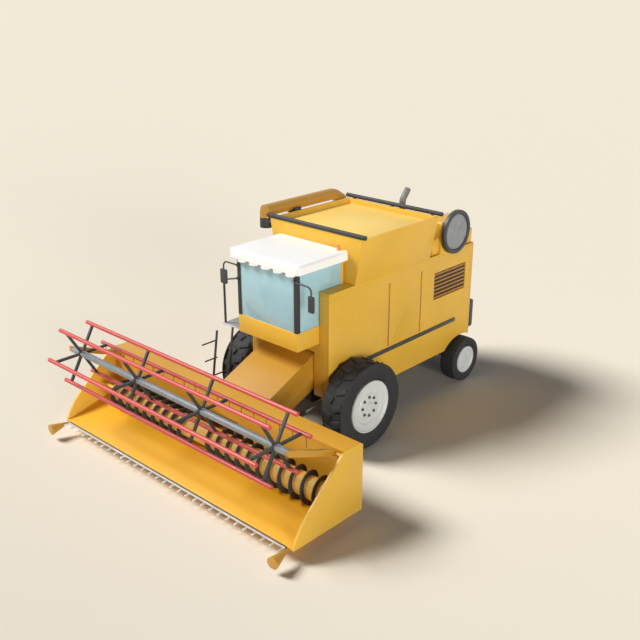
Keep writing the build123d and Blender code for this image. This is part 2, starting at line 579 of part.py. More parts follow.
def cab_roof():
    roof = block(-ROOF_HALF, ROOF_HALF, ROOF_FRONT, ROOF_BACK, ROOF_LOW, ROOF_HIGH)
    roof = fillet(roof.edges().filter_by(Axis.Z), 70)
    roof = fillet(roof.edges().group_by(Axis.Z)[-1], 45)
    # rounded lamp pods under the front edge
    for i in range(LOBES):
        x = (i - (LOBES - 1) / 2) * LOBE_PITCH
        roof += rod_z(100, ROOF_LOW - LOBE_DROP, ROOF_LOW + 20, x, ROOF_FRONT + 104)
    return roof - block(-900, 900, CAB_FRONT, 0, 0, ROOF_LOW)


def beacon():
    x = ROOF_HALF - 150
    lamp = rod_z(28, ROOF_HIGH, ROOF_HIGH + 90, x, 60)
    return fillet(lamp.edges().group_by(Axis.Z)[-1], 18) + rod_z(38, ROOF_HIGH, ROOF_HIGH + 18, x, 60)


def driver_seat():
    floor = CAB_FLOOR + WALL
    seat = block(-250, 250, -520, -40, floor + 380, floor + 480)
    seat += block(-250, 250, -60, 50, floor + 440, floor + 980)
    seat += block(-140, 140, -450, -100, floor, floor + 400)
    return fillet(seat.edges().filter_by(Axis.X), 12)


def steering_console():
    floor = CAB_FLOOR + WALL
    console = rod_between(45, (0, -840, floor + 20), (0, -720, floor + 640))
    console += block(-90, 90, -900, -780, floor, floor + 60)
    column_top = Plane(origin=(0, -720, floor + 640), z_dir=(0, 120, 620))
    console += column_top * Torus(175, 16)
    console += column_top * Box(330, 30, 20)
    return console


# mirror plates: middle in X, half width, lowest and highest place
MIRRORS = ((1, CAB_HALF + 322, 60.0, 2575.0, 2845.0), (-1, CAB_HALF + 320, 76.0, 2590.0, 2840.0))
MIRROR_TUBE, MIRROR_ARM_Z = 14.0, 2985.0


def mirrors():
    """A plate on a bent tube each side. The right one also has a lower stay."""
    y = CAB_FRONT - 16.0
    both = []
    for side, out, half, low, high in MIRRORS:
        x = side * out
        plate = fillet(block(x - half, x + half, y - 14, y + 14, low, high).edges().filter_by(Axis.Y), 25)
        root = side * (CAB_HALF - 20)
        path = FilletPolyline((root, y, MIRROR_ARM_Z), (x, y, MIRROR_ARM_Z), (x, y, high - 10), radius=90)
        start = Plane(origin=(root, y, MIRROR_ARM_Z), z_dir=(side, 0, 0))
        piece = plate + sweep(start * Circle(MIRROR_TUBE), path=path)
        piece += block(root - 20, root + 20, y - 14, CAB_FRONT, MIRROR_ARM_Z - 20, MIRROR_ARM_Z + 20)
        if side < 0:
            stay_z = low + 85
            piece += rod_between(MIRROR_TUBE, (x + half - 20, y, stay_z), (root, y, stay_z + 80))
            piece += block(root - 20, root + 20, y - 14, CAB_FRONT, stay_z + 60, stay_z + 100)
        both.append(piece)
    return both


def platform():
    plate = block(PLATFORM_X, -CAB_HALF, PLATFORM_FRONT, PLATFORM_BACK, PLATFORM_TOP - 25, PLATFORM_TOP)
    # handrail post at the outer front corner
    plate += rod_z(RAIL_R, PLATFORM_TOP - 10, 2560, PLATFORM_X + 30, PLATFORM_FRONT + 30)
    # brackets on the body behind
    plate += block(-BODY_HALF + 20, -CAB_HALF - 20, PLATFORM_BACK - 1, BODY_FRONT, 1700, PLATFORM_TOP)
    return plate


def ladder():
    """Two leaning rails below the platform with three rungs that stand out in front."""
    top, low = 1744.0, 900.0
    front_top, front_low = -1095.0, -1222.0
    back_top, back_low = -722.0, -854.0
    steps = rod_between(RAIL_R, (LADDER_X, front_top, top), (LADDER_X, front_low, low))
    steps += rod_between(RAIL_R, (LADDER_X, back_top, PLATFORM_TOP - 25), (LADDER_X, back_low, low))
    lean = (front_low - front_top) / (low - top)
    # rungs: height, foremost end, and the rail that the rear end stops at, with its overrun
    for z, front, last in ((1575.0, -1435.0, front_top + 5), (1256.0, -1385.0, front_top + 45),
                           (940.0, -1240.0, back_top)):
        steps += rod_y(RUNG_R, front, last + lean * (z - top), LADDER_X, z)
    steps -= block(-2000, 0, -2000, 0, PLATFORM_TOP - 25, 3000)
    return steps


# ---------------------------------------------------------------- unloading tube
def unload_elbow():
    body = rod_z(ELBOW_R, ELBOW_LOW, TUBE_Z - TUBE_R - 8, TUBE_X, TUBE_Y)
    neck = rod_x(60, TUBE_X, -TANK_FLARE + 60, TUBE_Y, ELBOW_LOW + 110)
    spigot = rod_z(SPIGOT_R, TUBE_Z - TUBE_R - 10, TUBE_Z - 40, TUBE_X, TUBE_Y)
    return body + neck + spigot - tank_outer()


def tank_outer():
    return loft([tank_section(0, BODY_TOP, BODY_HALF), tank_section(0, TANK_TOP, TANK_FLARE)])


def unload_tube():
    front = TUBE_Y - TUBE_STUB
    path = FilletPolyline((TUBE_X, front, TUBE_Z), (TUBE_X, TUBE_END, TUBE_Z),
                          (TUBE_X, TUBE_END + TUBE_TIP, TUBE_Z - TUBE_DROP), radius=TUBE_BEND)
    start = Plane(origin=(TUBE_X, front, TUBE_Z), z_dir=(0, 1, 0))
    tube = sweep(start * Circle(TUBE_R), path=path)
    bore = sweep(start * Circle(TUBE_R - 8), path=path)
    tube -= bore & block(TUBE_X - 2 * TUBE_R, 0, 700, 2 * TUBE_END, 0, 2 * TUBE_Z)
    collar = rod_z(ELBOW_R, TUBE_Z - TUBE_R - 2, TUBE_Z - 20, TUBE_X, TUBE_Y)
    return tube + collar - rod_z(SPIGOT_R + RUN, TUBE_Z - TUBE_R - 20, TUBE_Z - 34, TUBE_X, TUBE_Y)


# ---------------------------------------------------------------- feeder house and header
FEEDER_TOP_BACK, FEEDER_TOP_FRONT = 1567.0, 985.0
FEEDER_LOW_BACK, FEEDER_LOW_FRONT = 950.0, 435.0


def feeder_house():
    """Sloping chute, open at both ends, on a pivot shaft inside the body."""
    run = HEADER_BACK - BODY_FRONT
    top_slope = (FEEDER_TOP_FRONT - FEEDER_TOP_BACK) / run
    low_slope = (FEEDER_LOW_FRONT - FEEDER_LOW_BACK) / run
    back = PIVOT_Y + 60
    outline = [(HEADER_BACK, FEEDER_LOW_FRONT), (HEADER_BACK, FEEDER_TOP_FRONT),
               (back, FEEDER_TOP_BACK + top_slope * (back - BODY_FRONT)),
               (back, FEEDER_LOW_BACK + low_slope * (back - BODY_FRONT))]
    house = side_profile(outline, -FEEDER_HALF, FEEDER_HALF)
    shift = FEEDER_WALL
    inner = [(HEADER_BACK - 50, FEEDER_LOW_FRONT + shift + low_slope * -50),
             (HEADER_BACK - 50, FEEDER_TOP_FRONT - shift + top_slope * -50),
             (back + 200, FEEDER_TOP_BACK - shift + top_slope * (back + 200 - BODY_FRONT)),
             (back + 200, FEEDER_LOW_BACK + shift + low_slope * (back + 200 - BODY_FRONT))]
    house -= side_profile(inner, -FEEDER_HALF + shift, FEEDER_HALF - shift)
    house += rod_x(PIVOT_R, -BODY_HALF + WALL + 8, BODY_HALF - WALL - 8, PIVOT_Y, PIVOT_Z)
    # lugs and pins for the eyes of the lift rods
    for side in (1, -1):
        inner_x = side * FEEDER_HALF
        outer_x = side * (LIFT_X + 60)
        house += rod_x(LIFT_PIN_R, min(inner_x, outer_x), max(inner_x, outer_x), LIFT_EYE_Y, LIFT_EYE_Z)
        pad_x = side * (FEEDER_HALF + 40)
        house += rod_x(70, min(inner_x, pad_x), max(inner_x, pad_x), LIFT_EYE_Y, LIFT_EYE_Z + 30)
    return house


def trough_outline(inset):
    """Section of the header in Y and Z: floor, round trough behind the auger, and box-shaped back."""
    r = FLIGHT_R + TROUGH_GAP + inset
    floor_front = HEADER_BOTTOM + 30 - inset
    a = (HEADER_FRONT + 13 * inset, HEADER_BOTTOM + inset) if inset else (HEADER_FRONT, HEADER_BOTTOM)
    b = (HEADER_BACK - inset, HEADER_BOTTOM + inset)
    c = (HEADER_BACK - inset, HEADER_TOP - inset)
    d = (HEADER_FOLD + inset, HEADER_TOP - inset)
    e = (HEADER_FOLD + inset, AUGER_Z)
    s = r * math.sqrt(0.5)
    f = (AUGER_Y, AUGER_Z - r)
    g = (a[0], a[1] + 8) if inset else (HEADER_FRONT, HEADER_BOTTOM + 30)
    lines = [Line(a, b), Line(b, c), Line(c, d), Line(d, e),
             ThreePointArc(e, (AUGER_Y + s, AUGER_Z - s), f), Line(f, g), Line(g, a)]
    return make_face(lines)


def header_trough():
    half = HEADER_HALF - END_PLATE
    trough = Pos(-half, 0, 0) * extrude(Plane.YZ * trough_outline(0), 2 * half, dir=(1, 0, 0))
    for side in (1, -1):
        hollow = extrude(Plane.YZ * trough_outline(SHEET), half, dir=(1, 0, 0))
        hollow = Pos(CROP_HALF + 120, 0, 0) * hollow
        trough -= hollow if side > 0 else mirrored(hollow)
    return trough - block(-CROP_HALF, CROP_HALF, HEADER_FOLD - 300, HEADER_BACK + 10, 480, 930)


def header_ends():
    """End plates with a sloping front edge, and the pins that the reel arms turn on."""
    shoulder = (HEADER_FOLD - 109, HEADER_TOP - 25)
    slope_end = (HEADER_FRONT + 344, HEADER_TOP - 570)
    toe = (HEADER_FRONT, HEADER_BOTTOM + 30)
    lines = [Line((HEADER_BACK, HEADER_BOTTOM), (HEADER_BACK, HEADER_TOP)),
             Line((HEADER_BACK, HEADER_TOP), (HEADER_FOLD - 44, HEADER_TOP)),
             ThreePointArc((HEADER_FOLD - 44, HEADER_TOP), (HEADER_FOLD - 79, HEADER_TOP - 7), shoulder),
             Line(shoulder, slope_end),
             ThreePointArc(slope_end, (HEADER_FRONT + 117, HEADER_TOP - 826), toe),
             Line(toe, (HEADER_FRONT, HEADER_BOTTOM)),
             Line((HEADER_FRONT, HEADER_BOTTOM), (HEADER_BACK, HEADER_BOTTOM))]
    inner = HEADER_HALF - END_PLATE
    plate = Pos(inner, 0, 0) * extrude(Plane.YZ * make_face(lines), END_PLATE, dir=(1, 0, 0))
    plate -= rod_x(STUB_R + RUN, inner - 1, inner + END_PLATE - 12, AUGER_Y, AUGER_Z)
    plate += rod_x(ARM_PIN_R, REEL_ARM_X + 10, inner + 20, ARM_PIVOT_Y, ARM_PIVOT_Z)
    return plate, mirrored(plate)


def knife_bar():
    back = HEADER_FRONT
    front = back - KNIFE_DEPTH
    bar = block(-KNIFE_HALF, KNIFE_HALF, front, back, HEADER_BOTTOM, HEADER_BOTTOM + KNIFE_THICK - 12)
    bar += block(-KNIFE_HALF, KNIFE_HALF, front + 6, front + 26, HEADER_BOTTOM, HEADER_BOTTOM + KNIFE_THICK)
    for i in range(GUARDS):
        x = (i - (GUARDS - 1) / 2) * GUARD_PITCH
        tip = front - GUARD_LENGTH
        guard = [(x - 15, front + 5), (x + 15, front + 5), (x + 4, tip), (x - 4, tip)]
        face = make_face(Polyline(*guard, close=True))
        bar += Pos(0, 0, HEADER_BOTTOM + 2) * extrude(face, 18, dir=(0, 0, 1))
    return bar


def divider_cones():
    narrow = Vector(CONE_NARROW_X, HEADER_FRONT, CONE_NARROW_Z)
    wide = Vector(CONE_WIDE_X, HEADER_FRONT - CONE_LENGTH, CONE_WIDE_Z)
    axis = wide - narrow
    # started a little behind the trough's edge, and cut flush with it
    extra = 0.05
    growth = (CONE_WIDE - CONE_NARROW) * extra
    plane = Plane(origin=narrow - axis * extra, z_dir=axis)
    length = axis.length * (1 + extra)
    cone = plane * loft([Circle(CONE_NARROW - growth), Pos(0, 0, length) * Circle(CONE_WIDE)])
    cone &= block(0, 2 * HEADER_HALF, HEADER_FRONT - 2 * CONE_LENGTH, HEADER_FRONT, 0, HEADER_TOP)
    return cone, mirrored(cone)


def flight(length):
    """A helical web with a round bead along its rim, from the auger's bare middle to the left."""
    rim = FLIGHT_R - BEAD_R
    path = Helix(pitch=FLIGHT_PITCH, height=length, radius=rim)
    start = Plane(origin=path @ 0, z_dir=path % 0, x_dir=(1, 0, 0))
    depth = rim - AUGER_TUBE - SEAT
    section = Pos(-depth / 2, 0) * Rectangle(depth, FLIGHT_THICK) + Circle(BEAD_R)
    rib = sweep(start * section, path=path, is_frenet=True)
    return Pos(AUGER_GAP, AUGER_Y, AUGER_Z) * Rot(0, 90, 0) * rib


def auger_flights():
    full = HEADER_HALF - END_PLATE - AUGER_GAP - 40
    return flight(full), mirrored(flight(full - AUGER_SHORT))


def auger_tube():
    """Tube with an end disc on each side that holds a stub shaft, and holes in the discs."""
    end = HEADER_HALF - END_PLATE - 15
    ends = {1: end, -1: end - AUGER_SHORT}
    tube = rod_x(AUGER_TUBE, -ends[-1], end, AUGER_Y, AUGER_Z)
    tube -= rod_x(AUGER_TUBE - AUGER_WALL, -end - 10, end + 10, AUGER_Y, AUGER_Z)
    for side, last in ends.items():
        near, far = sorted((side * (last - 60), side * (last - 40)))
        disc = rod_x(AUGER_TUBE - 2, near, far, AUGER_Y, AUGER_Z)
        for k in range(3):
            turn = math.radians(120 * k)
            y, z = AUGER_Y + 100 * math.cos(turn), AUGER_Z + 100 * math.sin(turn)
            disc -= rod_x(30, near - 10, far + 10, y, z)
        near, far = sorted((side * (last - 60), side * (end + 35)))
        tube += disc + rod_x(STUB_R, near, far, AUGER_Y, AUGER_Z)
    return tube


# ---------------------------------------------------------------- reel
def reel_arms():
    """Two straight bars, pinned on the end plates and bored for the reel shaft."""
    x0 = REEL_ARM_X
    x1 = x0 + REEL_ARM_THICK
    shaft, pivot = (REEL_Y, REEL_Z), (ARM_PIVOT_Y, ARM_PIVOT_Z)
    along = Vector(shaft[0] - pivot[0], shaft[1] - pivot[1]).normalized()
    ahead = Vector(*shaft) + along * 2 * ARM_NOSE
    ends = [Pos(ahead.X, ahead.Y) * Circle(ARM_HIGH / 2).edge(), Pos(*pivot) * Circle(ARM_HIGH / 2).edge()]
    arm = Pos(x0, 0, 0) * extrude(Plane.YZ * make_hull(ends), REEL_ARM_THICK, dir=(1, 0, 0))
    # square nose in front of the shaft
    arm -= block(x0 - 1, x1 + 1, REEL_Y - 5 * ARM_NOSE, REEL_Y - ARM_NOSE, 0, 2 * REEL_Z)
    arm -= rod_x(STUB_R + RUN, x0 - 1, x0 + REEL_ARM_THICK - 10, *shaft)
    arm -= rod_x(ARM_PIN_R + RUN, x0 + 8, x1 + 1, *pivot)
    return arm, mirrored(arm)


def reel_shaft():
    tube = rod_x(REEL_SHAFT_R, -REEL_SHAFT_HALF, REEL_SHAFT_HALF, REEL_Y, REEL_Z)
    stub_end = REEL_ARM_X + REEL_ARM_THICK - 12
    return tube + rod_x(STUB_R, -stub_end, stub_end, REEL_Y, REEL_Z)


def reel_spiders():
    """Six-armed stars round the shaft. Each arm ends in a half clip under its bat."""
    stars = []
    for i in range(SPIDERS):
        x = (i - (SPIDERS - 1) / 2) * SPIDER_PITCH
        star = rod_x(62, x - 22, x + 22, 0, 0)
        for k in range(BATS):
            arm = block(x - ARM_THICK / 2, x + ARM_THICK / 2, -ARM_THICK / 2, ARM_THICK / 2,
                        50, BAT_CIRCLE - 10)
            star += Rot(BAT_PHASE + 60 * k, 0, 0) * arm
        star -= rod_x(REEL_SHAFT_R + SEAT, x - 100, x + 100, 0, 0)
        for k in range(BATS):
            star -= Rot(BAT_PHASE + 60 * k, 0, 0) * rod_x(BAT_R + SEAT, x - 100, x + 100, 0, BAT_CIRCLE)
        stars.append(Pos(0, REEL_Y, REEL_Z) * star)
    return stars


def reel_bats():
    """Six round bats. The rearmost one carries the spring tines."""
    bats = []
    for k in range(BATS):
        angle = math.radians(BAT_PHASE + 60 * k)
        y = REEL_Y - BAT_CIRCLE * math.sin(angle)
        z = REEL_Z + BAT_CIRCLE * math.cos(angle)
        bat = rod_x(BAT_R, -BAT_HALF, BAT_HALF, y, z)
        if math.sin(angle) < -0.99:
            for i in range(TINES):
                x = (i - (TINES - 1) / 2) * TINE_PITCH
                bat += rod_z(TINE_R, z - TINE_LENGTH, z, x, y)
        bats.append(bat)
    return bats


# ---------------------------------------------------------------- header lift
EYE_PLAY = 8.0             # play of the barrel's eye, because the two slides are coupled by fixed ratios


def lift_line():
    base = Vector(0, LIFT_BASE_Y, LIFT_BASE_Z)
    eye = Vector(0, LIFT_EYE_Y, LIFT_EYE_Z)
    return base, eye, (eye - base).normalized()


def lift_rods():
    """Piston rods, hinged on the chassis."""
    base, _, along = lift_line()
    rods = []
    for side in (1, -1):
        shift = Vector(side * LIFT_X, 0, 0)
        rod = rod_between(ROD_R, base + shift + along * 30, base + shift + along * ROD_LONG)
        rod += rod_x(EYE_R, side * LIFT_X - 38, side * LIFT_X + 38, base.Y, base.Z)
        rod -= rod_x(LIFT_PIN_R + RUN, side * LIFT_X - 50, side * LIFT_X + 50, base.Y, base.Z)
        rods.append(rod)
    return rods


def lift_barrels():
    """Barrels that slide on the rods. Each eye is bored wider than its pin on the feeder house."""
    base, eye, along = lift_line()
    barrels = []
    for side in (1, -1):
        shift = Vector(side * LIFT_X, 0, 0)
        mouth = eye + shift - along * BARREL_LONG
        tube = rod_between(BARREL_R, mouth, eye + shift - along * 30)
        tube += rod_x(EYE_R, side * LIFT_X - 28, side * LIFT_X + 28, eye.Y, eye.Z)
        tube -= rod_x(LIFT_PIN_R + EYE_PLAY, side * LIFT_X - 50, side * LIFT_X + 50, eye.Y, eye.Z)
        tube -= rod_between(ROD_R + RUN, mouth - along * 10, eye + shift - along * 75)
        barrels.append(tube)
    return barrels


# ---------------------------------------------------------------- build
def build():
    os.makedirs("parts", exist_ok=True)
    save("chassis_frame", chassis_frame())
    save("drive_axle", drive_axle())
    save("rear_axle", rear_axle())
    for name, side in (("left", 1), ("right", -1)):
        save(f"knuckle_{name}", knuckle(side))
        save(f"front_tyre_{name}", front_tyre(side))
        save(f"front_rim_{name}", front_rim(side))
        save(f"rear_tyre_{name}", rear_tyre(side))
        save(f"rear_rim_{name}", rear_rim(side))
        save(f"side_panel_{name}", side_panel(side))
    save("grille_backings", *grille_backings())
    save("front_bulkhead", front_bulkhead())
    save("rear_hood", rear_hood())
    save("belly_pan", belly_pan())
    save("body_top", body_top())
    save("side_mouldings", *side_mouldings())
    save("rear_lamp_boxes", *rear_lamp_boxes())
    save("tow_hitch", tow_hitch())
    save("grain_tank", grain_tank())
    save("tank_cover", tank_cover())
    save("tank_bars", *tank_bars())
    save("engine_cover", engine_cover())
    save("engine_block", engine_block())
    save("screen_housing", screen_housing())
    save("rotary_screen", rotary_screen())
    save("exhaust_pipe", exhaust_pipe())
    save("cab_base", cab_base())
    save("cab_frame", cab_frame())
    save("cab_glazing", *cab_glazing())
    save("cab_door", cab_door())
    save("door_glass", door_glass())
    save("cab_roof", cab_roof())
    save("beacon", beacon())
    save("driver_seat", driver_seat())
    save("steering_console", steering_console())
    save("mirrors", *mirrors())
    save("platform", platform())
    save("ladder", ladder())
    save("unload_elbow", unload_elbow())
    save("unload_tube", unload_tube())
    save("feeder_house", feeder_house())
    save("header_trough", header_trough())
    save("header_ends", *header_ends())
    save("knife_bar", knife_bar())
    save("divider_cones", *divider_cones())
    save("auger_tube", auger_tube())
    save("auger_flights", *auger_flights())
    save("reel_arms", *reel_arms())
    save("reel_shaft", reel_shaft())
    save("reel_spiders", *reel_spiders())
    save("reel_bats", *reel_bats())
    save("lift_barrels", *lift_barrels())
    save("lift_rods", *lift_rods())


if __name__ == "__main__":
    build()
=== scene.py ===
# %% [markdown]
# # A combine harvester, dressed for its portrait
# The machine comes in as a fixed frame of plain solids in metres. It stands on the ground at z = 0, faces
# -Y, and has its left side at +X. Every cell below adds one thing: first the room, the camera and the
# light, then the finishes, then the pieces that need more shape than the frame gives them.

# %% Load the frame
import json
import math

import bpy
from mathutils import Matrix, Vector


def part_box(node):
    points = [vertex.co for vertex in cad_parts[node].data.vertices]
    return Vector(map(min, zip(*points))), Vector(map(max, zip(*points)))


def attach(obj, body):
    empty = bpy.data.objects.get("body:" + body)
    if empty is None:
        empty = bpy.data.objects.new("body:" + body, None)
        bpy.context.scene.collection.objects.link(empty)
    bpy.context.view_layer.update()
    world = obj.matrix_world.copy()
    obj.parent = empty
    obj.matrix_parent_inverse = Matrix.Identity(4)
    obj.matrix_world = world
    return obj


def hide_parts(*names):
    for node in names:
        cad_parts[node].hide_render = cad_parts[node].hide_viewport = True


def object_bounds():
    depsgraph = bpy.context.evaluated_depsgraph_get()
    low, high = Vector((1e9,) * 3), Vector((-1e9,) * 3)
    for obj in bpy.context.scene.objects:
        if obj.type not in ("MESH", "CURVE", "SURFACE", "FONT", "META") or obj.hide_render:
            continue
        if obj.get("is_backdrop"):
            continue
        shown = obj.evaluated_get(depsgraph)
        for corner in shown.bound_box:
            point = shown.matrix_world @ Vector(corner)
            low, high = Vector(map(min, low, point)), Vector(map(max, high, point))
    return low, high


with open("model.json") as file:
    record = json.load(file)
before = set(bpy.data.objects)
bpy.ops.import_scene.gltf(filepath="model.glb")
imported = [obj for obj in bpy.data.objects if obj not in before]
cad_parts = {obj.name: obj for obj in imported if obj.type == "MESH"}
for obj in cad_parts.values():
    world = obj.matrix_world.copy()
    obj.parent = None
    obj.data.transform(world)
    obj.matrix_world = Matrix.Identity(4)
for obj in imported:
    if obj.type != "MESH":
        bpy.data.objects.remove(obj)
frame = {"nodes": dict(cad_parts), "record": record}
cad_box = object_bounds()
print("frame box", [tuple(round(c, 3) for c in corner) for corner in cad_box])

# %% [markdown]
# ## Where things are
# The frame's own boxes give all the places that the new pieces need, so that nothing is typed twice.
# The drive wheels' axle is a handy landmark: it is a little in front of the origin.

# %% Landmarks read from the frame
def middle(node):
    """The middle of a frame piece's box."""
    low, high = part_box(node)
    return (low + high) / 2


slots = {entry["node"]: entry["material_slot"] for entry in frame["record"]["subparts"]}
body_of = {node: body for body, nodes in frame["record"]["behaviour"]["bodies"].items() for node in nodes}
AXLE_Y = round(middle("front_rim_left").y, 4)
print("drive axle at y", AXLE_Y, "steering axle at y", round(middle("rear_rim_left").y, 3))

# %% [markdown]
# ## The camera
# A long way off, above the left front corner and looking down at about twenty-one degrees, so that the
# wide header runs across the lower left of the frame. A 50 mm lens keeps the perspective moderate.

# %% Camera
AZIMUTH, ELEVATION = 42.92, 21.33       # degrees
STAND = (9.784, -10.214 + AXLE_Y, 7.439)
LENS, SENSOR, FAR = 50, 36, 500         # millimetres, millimetres, metres
camera_data = bpy.data.cameras.new("camera")
camera_data.lens = LENS
camera_data.sensor_width = SENSOR
camera_data.clip_end = FAR
camera = bpy.data.objects.new("camera", camera_data)
bpy.context.scene.collection.objects.link(camera)
camera.location = STAND
camera.rotation_euler = (math.radians(90 - ELEVATION), 0, math.radians(AZIMUTH))
bpy.context.scene.camera = camera
print("camera at", tuple(round(c, 2) for c in camera.location))

# %% [markdown]
# ## Node helpers
# Every finish is a small graph of nodes, and a few helpers keep the graphs short. `srgb` turns a given
# colour into linear light, `new_material` starts a graph, `add` adds a node and fills or links its
# sockets by name, `spread` stretches a range of values, and `blend` mixes two colours.

# %% Node helpers
def srgb(r, g, b):
    """Linear colour from the 0-255 numbers that a colour picker shows."""
    def one(c):
        c /= 255
        return c / 12.92 if c <= 0.04045 else ((c + 0.055) / 1.055) ** 2.4
    return (one(r), one(g), one(b), 1.0)


def new_material(name):
    """An empty node material: returns the material, its tree and its Principled shader."""
    material = bpy.data.materials.new(name)
    material.use_nodes = True
    return material, material.node_tree, material.node_tree.nodes["Principled BSDF"]


def plug(tree, node, sockets):
    """Fill sockets by name or number: an output socket is linked, anything else is a value."""
    for key, value in sockets.items():
        if isinstance(value, bpy.types.NodeSocket):
            tree.links.new(value, node.inputs[key])
        else:
            node.inputs[key].default_value = value
    return node


def add(tree, kind, sockets=None, **settings):
    """A new node of a kind, with its settings and its sockets."""
    node = tree.nodes.new("ShaderNode" + kind)
    for key, value in settings.items():
        setattr(node, key, value)
    return plug(tree, node, sockets or {})


def spread(tree, value, low, high):
    """Stretch a value between two limits to the range 0 to 1."""
    return add(tree, "MapRange", {"Value": value, "From Min": low, "From Max": high}).outputs["Result"]


def blend(tree, factor, a, b):
    """Mix two colours by a factor."""
    node = add(tree, "Mix", data_type="RGBA")
    plug(tree, node, {0: factor, 6: a, 7: b})
    return node.outputs[2]


print("middle grey is", round(srgb(128, 128, 128)[0], 3), "in linear light")

# %% [markdown]
# ## The room
# A pale warm floor runs out to the horizon, like a seamless paper sweep, with painted shade that makes it
# a little darker near the lens.
# A real studio would use the same few lamps: a big soft key, high at the right front of the machine,
# and a wide low fill from the side that we look from. The world adds only a breath of light to the
# shadows, but mirror-like finishes see it as a bright room.

# %% Floor
FLOOR_FAR, FLOOR_NEAR = (243, 234, 216), (232, 224, 208)
FLOOR_SIZE = 800
PAINTED_SHADE_SPOT, NEAR_R, FAR_R = (2.0, -7.0, 0), 1.0, 12.0    # painted shade: the darker patch of the sweep, near the lens
bpy.ops.object.select_all(action="DESELECT")
bpy.ops.mesh.primitive_grid_add(x_subdivisions=8, y_subdivisions=8, size=FLOOR_SIZE, location=(0, 0, 0))
floor = bpy.context.object
floor.name = "floor"
floor_material, tree, shader = new_material("warm_sweep")
place = add(tree, "TexCoord").outputs["Object"]
shift = add(tree, "VectorMath", {0: place, 1: PAINTED_SHADE_SPOT}, operation="SUBTRACT")
distance = add(tree, "VectorMath", {0: shift.outputs[0]}, operation="LENGTH").outputs["Value"]
# painted shade: the floor's colour darkens towards the spot near the lens
shade = blend(tree, spread(tree, distance, NEAR_R, FAR_R), srgb(*FLOOR_NEAR), srgb(*FLOOR_FAR))
plug(tree, shader, {"Base Color": shade, "Roughness": 0.9, "Specular IOR Level": 0.1})
floor.data.materials.append(floor_material)
floor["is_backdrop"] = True
bpy.context.scene.view_settings.view_transform = "Standard"
print("floor", FLOOR_SIZE, "m wide")

# %% Lamps
# name, strength, angular size in degrees, colour, direction that the light comes from
LAMPS = (
    ("key", 3.75, 22, (1.0, 0.99, 0.97), (-0.64, -0.46, 0.82)),
    ("fill", 2.8, 26, (1.0, 0.985, 0.96), (0.93, -0.37, 0.06)),
)
for name, strength, size, colour, direction in LAMPS:
    lamp_data = bpy.data.lights.new(name, "SUN")
    lamp_data.energy = strength
    lamp_data.angle = math.radians(size)
    lamp_data.color = colour
    lamp = bpy.data.objects.new(name, lamp_data)
    bpy.context.scene.collection.objects.link(lamp)
    lamp.rotation_euler = Vector(direction).to_track_quat("Z", "Y").to_euler()
    print(name, "lamp from", tuple(round(c, 2) for c in Vector(direction).normalized()))

# %% World
SHADOW_LEVEL, SEEN_LEVEL = 0.062, 0.85          # strength for diffuse light, strength where it is seen
SHADOW_TINT, SEEN_TINT = (0.76, 0.93, 1.24, 1), (1.0, 0.975, 0.93, 1)
world = bpy.data.worlds.new("studio")
bpy.context.scene.world = world
world.use_nodes = True
tree = world.node_tree
background = tree.nodes["Background"]
rays = add(tree, "LightPath").outputs
seen = add(tree, "Math", {0: rays["Is Camera Ray"], 1: rays["Is Glossy Ray"]}, operation="MAXIMUM")
seen = add(tree, "Math", {0: seen.outputs[0], 1: rays["Is Transmission Ray"]}, operation="MAXIMUM")
level = add(tree, "MapRange", {"Value": seen.outputs[0], "To Min": SHADOW_LEVEL, "To Max": SEEN_LEVEL})
sky = blend(tree, seen.outputs[0], SHADOW_TINT, SEEN_TINT)
plug(tree, background, {"Color": sky, "Strength": level.outputs["Result"]})
print("world lights shadows at", SHADOW_LEVEL, "and is seen at", SEEN_LEVEL)

# %% [markdown]
# ## Painted sheet
# Farm machines are sprayed in two coats, then worn by crop, boots and weather. The paint below starts
# from one colour and adds, in order: clouds of slightly thinner paint, a paler colour on every edge that is
# partly wear and partly a painted highlight, a brighter colour low down that is painted light on the floor
# of the header's trough, and road dust that settles near the ground. A fine bump gives the orange-peel
# surface of sprayed enamel.
# The paler edge uses the Bevel node: where its softened normal leaves the true one, there is an edge.

# %% Paint recipe
DUST = (170, 156, 128)
DUST_TOP, DUST_FULL = 1.1, 0.1          # heights between which the dust thickens
PAINTED_LIGHT_TOP, PAINTED_LIGHT_FULL = 0.8, 0.45         # heights between which a brighter colour takes over: painted light on the header's trough floor
# width of the paler edge, which is partly wear and partly a painted highlight
RUB_AND_HIGHLIGHT_WIDTH = 0.014
CLOUDS, PATCHES, SOIL, PEEL = 0.9, 22.0, 3.5, 90.0      # scales of the patterns


def edge_mask(tree, radius):
    """1 along the edges of a form and 0 on its flats."""
    soft = add(tree, "Bevel", {"Radius": radius}, samples=4).outputs["Normal"]
    true = add(tree, "NewGeometry").outputs["True Normal"]
    same = add(tree, "VectorMath", {0: soft, 1: true}, operation="DOT_PRODUCT").outputs["Value"]
    return spread(tree, same, 0.995, 0.86)


def bump(tree, place, scale, strength, detail=2.0):
    """A fine uneven surface."""
    grain = add(tree, "TexNoise", {"Vector": place, "Scale": scale, "Detail": detail}).outputs["Fac"]
    return add(tree, "Bump", {"Height": grain, "Strength": strength, "Distance": 0.004}).outputs["Normal"]


def times(tree, a, b):
    """The product of two values."""
    return add(tree, "Math", {0: a, 1: b}, operation="MULTIPLY").outputs[0]


